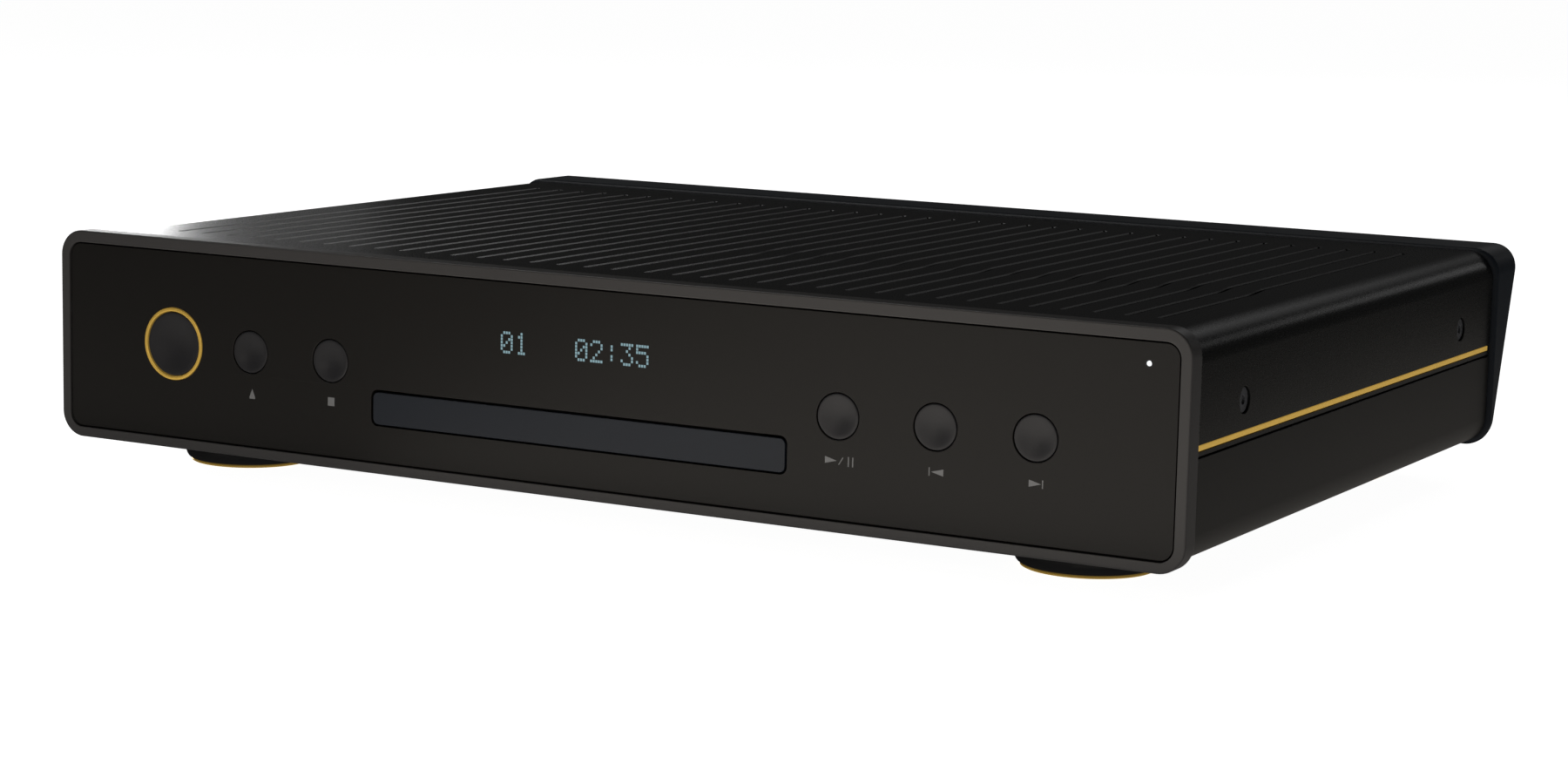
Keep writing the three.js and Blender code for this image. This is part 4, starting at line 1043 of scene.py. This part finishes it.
def add_camera():
    """Camera at the solved place, level apart from a slight roll."""
    data = bpy.data.cameras.new("camera")
    data.lens = CAMERA_LENS
    data.sensor_width = CAMERA_SENSOR
    data.clip_end = CAMERA_REACH
    camera = bpy.data.objects.new("camera", data)
    forward = Vector((-math.sin(CAMERA_YAW) * math.cos(CAMERA_PITCH),
                      math.cos(CAMERA_YAW) * math.cos(CAMERA_PITCH), -math.sin(CAMERA_PITCH)))
    right = Vector((math.cos(CAMERA_YAW), math.sin(CAMERA_YAW), 0))
    up = right.cross(forward)
    rolled_right = right * math.cos(CAMERA_ROLL) + up * math.sin(CAMERA_ROLL)
    rolled_up = up * math.cos(CAMERA_ROLL) - right * math.sin(CAMERA_ROLL)
    turn = Matrix((rolled_right, rolled_up, -forward)).transposed().to_4x4()
    camera.matrix_world = Matrix.Translation(CAMERA_PLACE) @ turn
    bpy.context.scene.collection.objects.link(camera)
    bpy.context.scene.camera = camera


def add_light(name, place, target, size, power, color=(1, 1, 1)):
    """Soft card: lights the object, and shows only in what the object reflects."""
    data = bpy.data.lights.new(name, "AREA")
    data.shape = "RECTANGLE"
    data.size, data.size_y = size
    data.energy = power
    data.color = color
    light = bpy.data.objects.new(name, data)
    place, target = Vector(place), Vector(target)
    light.location = place
    light.rotation_euler = (target - place).to_track_quat("-Z", "Y").to_euler()
    light.visible_camera = False
    bpy.context.scene.collection.objects.link(light)


def add_sheet(name, left, right, front, rear, glow):
    """White sheet just over the floor beside the object, seen in its gloss; glow is its brightness."""
    wide, deep = right - left, rear - front
    middle = ((left + right) / 2, (front + rear) / 2)
    add_light(name, (*middle, SHEET_Z), (*middle, 1), (wide, deep), math.pi * wide * deep * glow, WARM)


def add_floor():
    """Pale matte floor, bright as a lit studio sheet."""
    mesh = bpy.data.meshes.new("floor")
    ring = [(x, y, 0) for x, y in arc(0, 0, FLOOR_RADIUS, 0, 2 * math.pi, FLOOR_SIDES)[:-1]]
    mesh.from_pydata(ring, [], [tuple(range(FLOOR_SIDES))])
    floor = bpy.data.objects.new("floor", mesh)
    bpy.context.scene.collection.objects.link(floor)
    material, shader = new_material("floor_white")
    cloudy_color(material, object_place(material), FLOOR_GREYS[0], FLOOR_GREYS[1],
                 shader.inputs["Base Color"], Scale=3.0, Detail=2.0)
    shader.inputs["Roughness"].default_value = 1.0
    shader.inputs["Specular IOR Level"].default_value = 0.0
    shader.inputs["Emission Color"].default_value = (1, 1, 1, 1)
    shader.inputs["Emission Strength"].default_value = FLOOR_GLOW
    mesh.materials.append(material)
    floor.visible_glossy = False


def add_world():
    """White behind the object, and little light from it."""
    world = bpy.data.worlds.new("studio")
    world.use_nodes = True
    tree = world.node_tree
    back = tree.nodes["Background"]
    back.inputs["Color"].default_value = (1, 1, 1, 1)
    rays = tree.nodes.new("ShaderNodeLightPath")
    span = tree.nodes.new("ShaderNodeMapRange")
    span.inputs["To Min"].default_value = WORLD_LIGHT
    span.inputs["To Max"].default_value = 1.0
    tree.links.new(rays.outputs["Is Camera Ray"], span.inputs["Value"])
    tree.links.new(span.outputs["Result"], back.inputs["Strength"])
    bpy.context.scene.world = world


def add_stage():
    """Floor, white surroundings, soft cards above and round the object, and sheets beside it."""
    bpy.context.scene.view_settings.view_transform = "Standard"
    add_world()
    add_floor()
    add_light("overhead", (-0.75, -0.25, 1.4), MIDDLE, (0.6, 0.6), 6)
    add_light("back_high", (0.15, 1.6, 1.4), MIDDLE, (0.6, 0.3), 2.1)
    add_light("back_mid", (0.25, 1.8, 0.95), MIDDLE, (0.5, 0.5), 0.2)
    add_light("back_low", (0.65, 2.2, 0.62), MIDDLE, (0.5, 0.2), 0.22)
    add_light("back_left", (-1.9, 1.3, 0.30), LEFT_REAR, (0.8, 0.36), 12.5)
    add_light("back_left_soft", (-1.75, 1.45, 0.32), LEFT_REAR, (0.8, 0.36), 0.16)
    add_light("front_card", (-0.1, -2.2, 0.75), (0.1, 0, 0.05), (0.8, 0.6), 2.4, WARM)
    add_light("front_low", (-0.5, -2.2, 0.22), (0.05, 0, 0.05), (0.8, 0.3), 2.0, WARM)
    add_sheet("front_sheet", -0.10, 0.26, -0.68, -0.18, 1.4)
    add_sheet("front_sheet_left", -0.50, -0.10, -0.34, -0.18, 0.45)
    add_sheet("side_near", 0.17, 0.235, -0.15, 0.45, 0.16)
    add_sheet("side_far", 0.235, 0.33, -0.15, 0.55, 0.16)


# ------------------------------------------------------------------ carried-over CAD nodes

CAD_FINISHES = {
    "front_board": BOARD,
    "display_module": DISPLAY_GLASS,
    "loader_frame": BLACK_PLASTIC,
    "loading_gear": WHITE_PLASTIC,
    "motor_pulley": WHITE_PLASTIC,
    "drive_belt": RUBBER,
    "loading_motor": ZINC,
    "clamp_bridge": ZINC,
    "clamp_puck": BLACK_PLASTIC,
    "traverse_plate": ZINC,
    "spindle_motor": ZINC,
    "turntable": BLACK_PLASTIC,
    "guide_rod_left": STEEL,
    "guide_rod_right": STEEL,
    "feed_screw": STEEL,
    "feed_motor": ZINC,
    "optical_sled": BLACK_PLASTIC,
    "objective_lens": LENS_GLASS,
    "power_board": BOARD,
    "main_board": BOARD,
    "transformer": WINDING,
    "transformer_clamp": ZINC,
    "mains_inlet": BLACK_PLASTIC,
    "analogue_sockets": ZINC,
    "coaxial_socket": ZINC,
    "optical_socket": BLACK_PLASTIC,
    "disc_tray": BLACK_PLASTIC,
}


def paint_cad_nodes():
    """Give each CAD node that stays visible its material."""
    for node, material in CAD_FINISHES.items():
        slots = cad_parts[node].data.materials
        slots.clear()
        slots.append(material)


add_camera()
make_front_bezel()
make_fascia()
make_cover()
make_chassis()
make_strips()
make_rear_bezel()
make_rear_panel()
make_feet()
make_side_screws()
make_controls()
make_marks()
make_display()
paint_cad_nodes()
add_stage()


def corners(box):
    """Lowest and highest corner as plain lists of numbers."""
    return [[float(v) for v in corner] for corner in box]
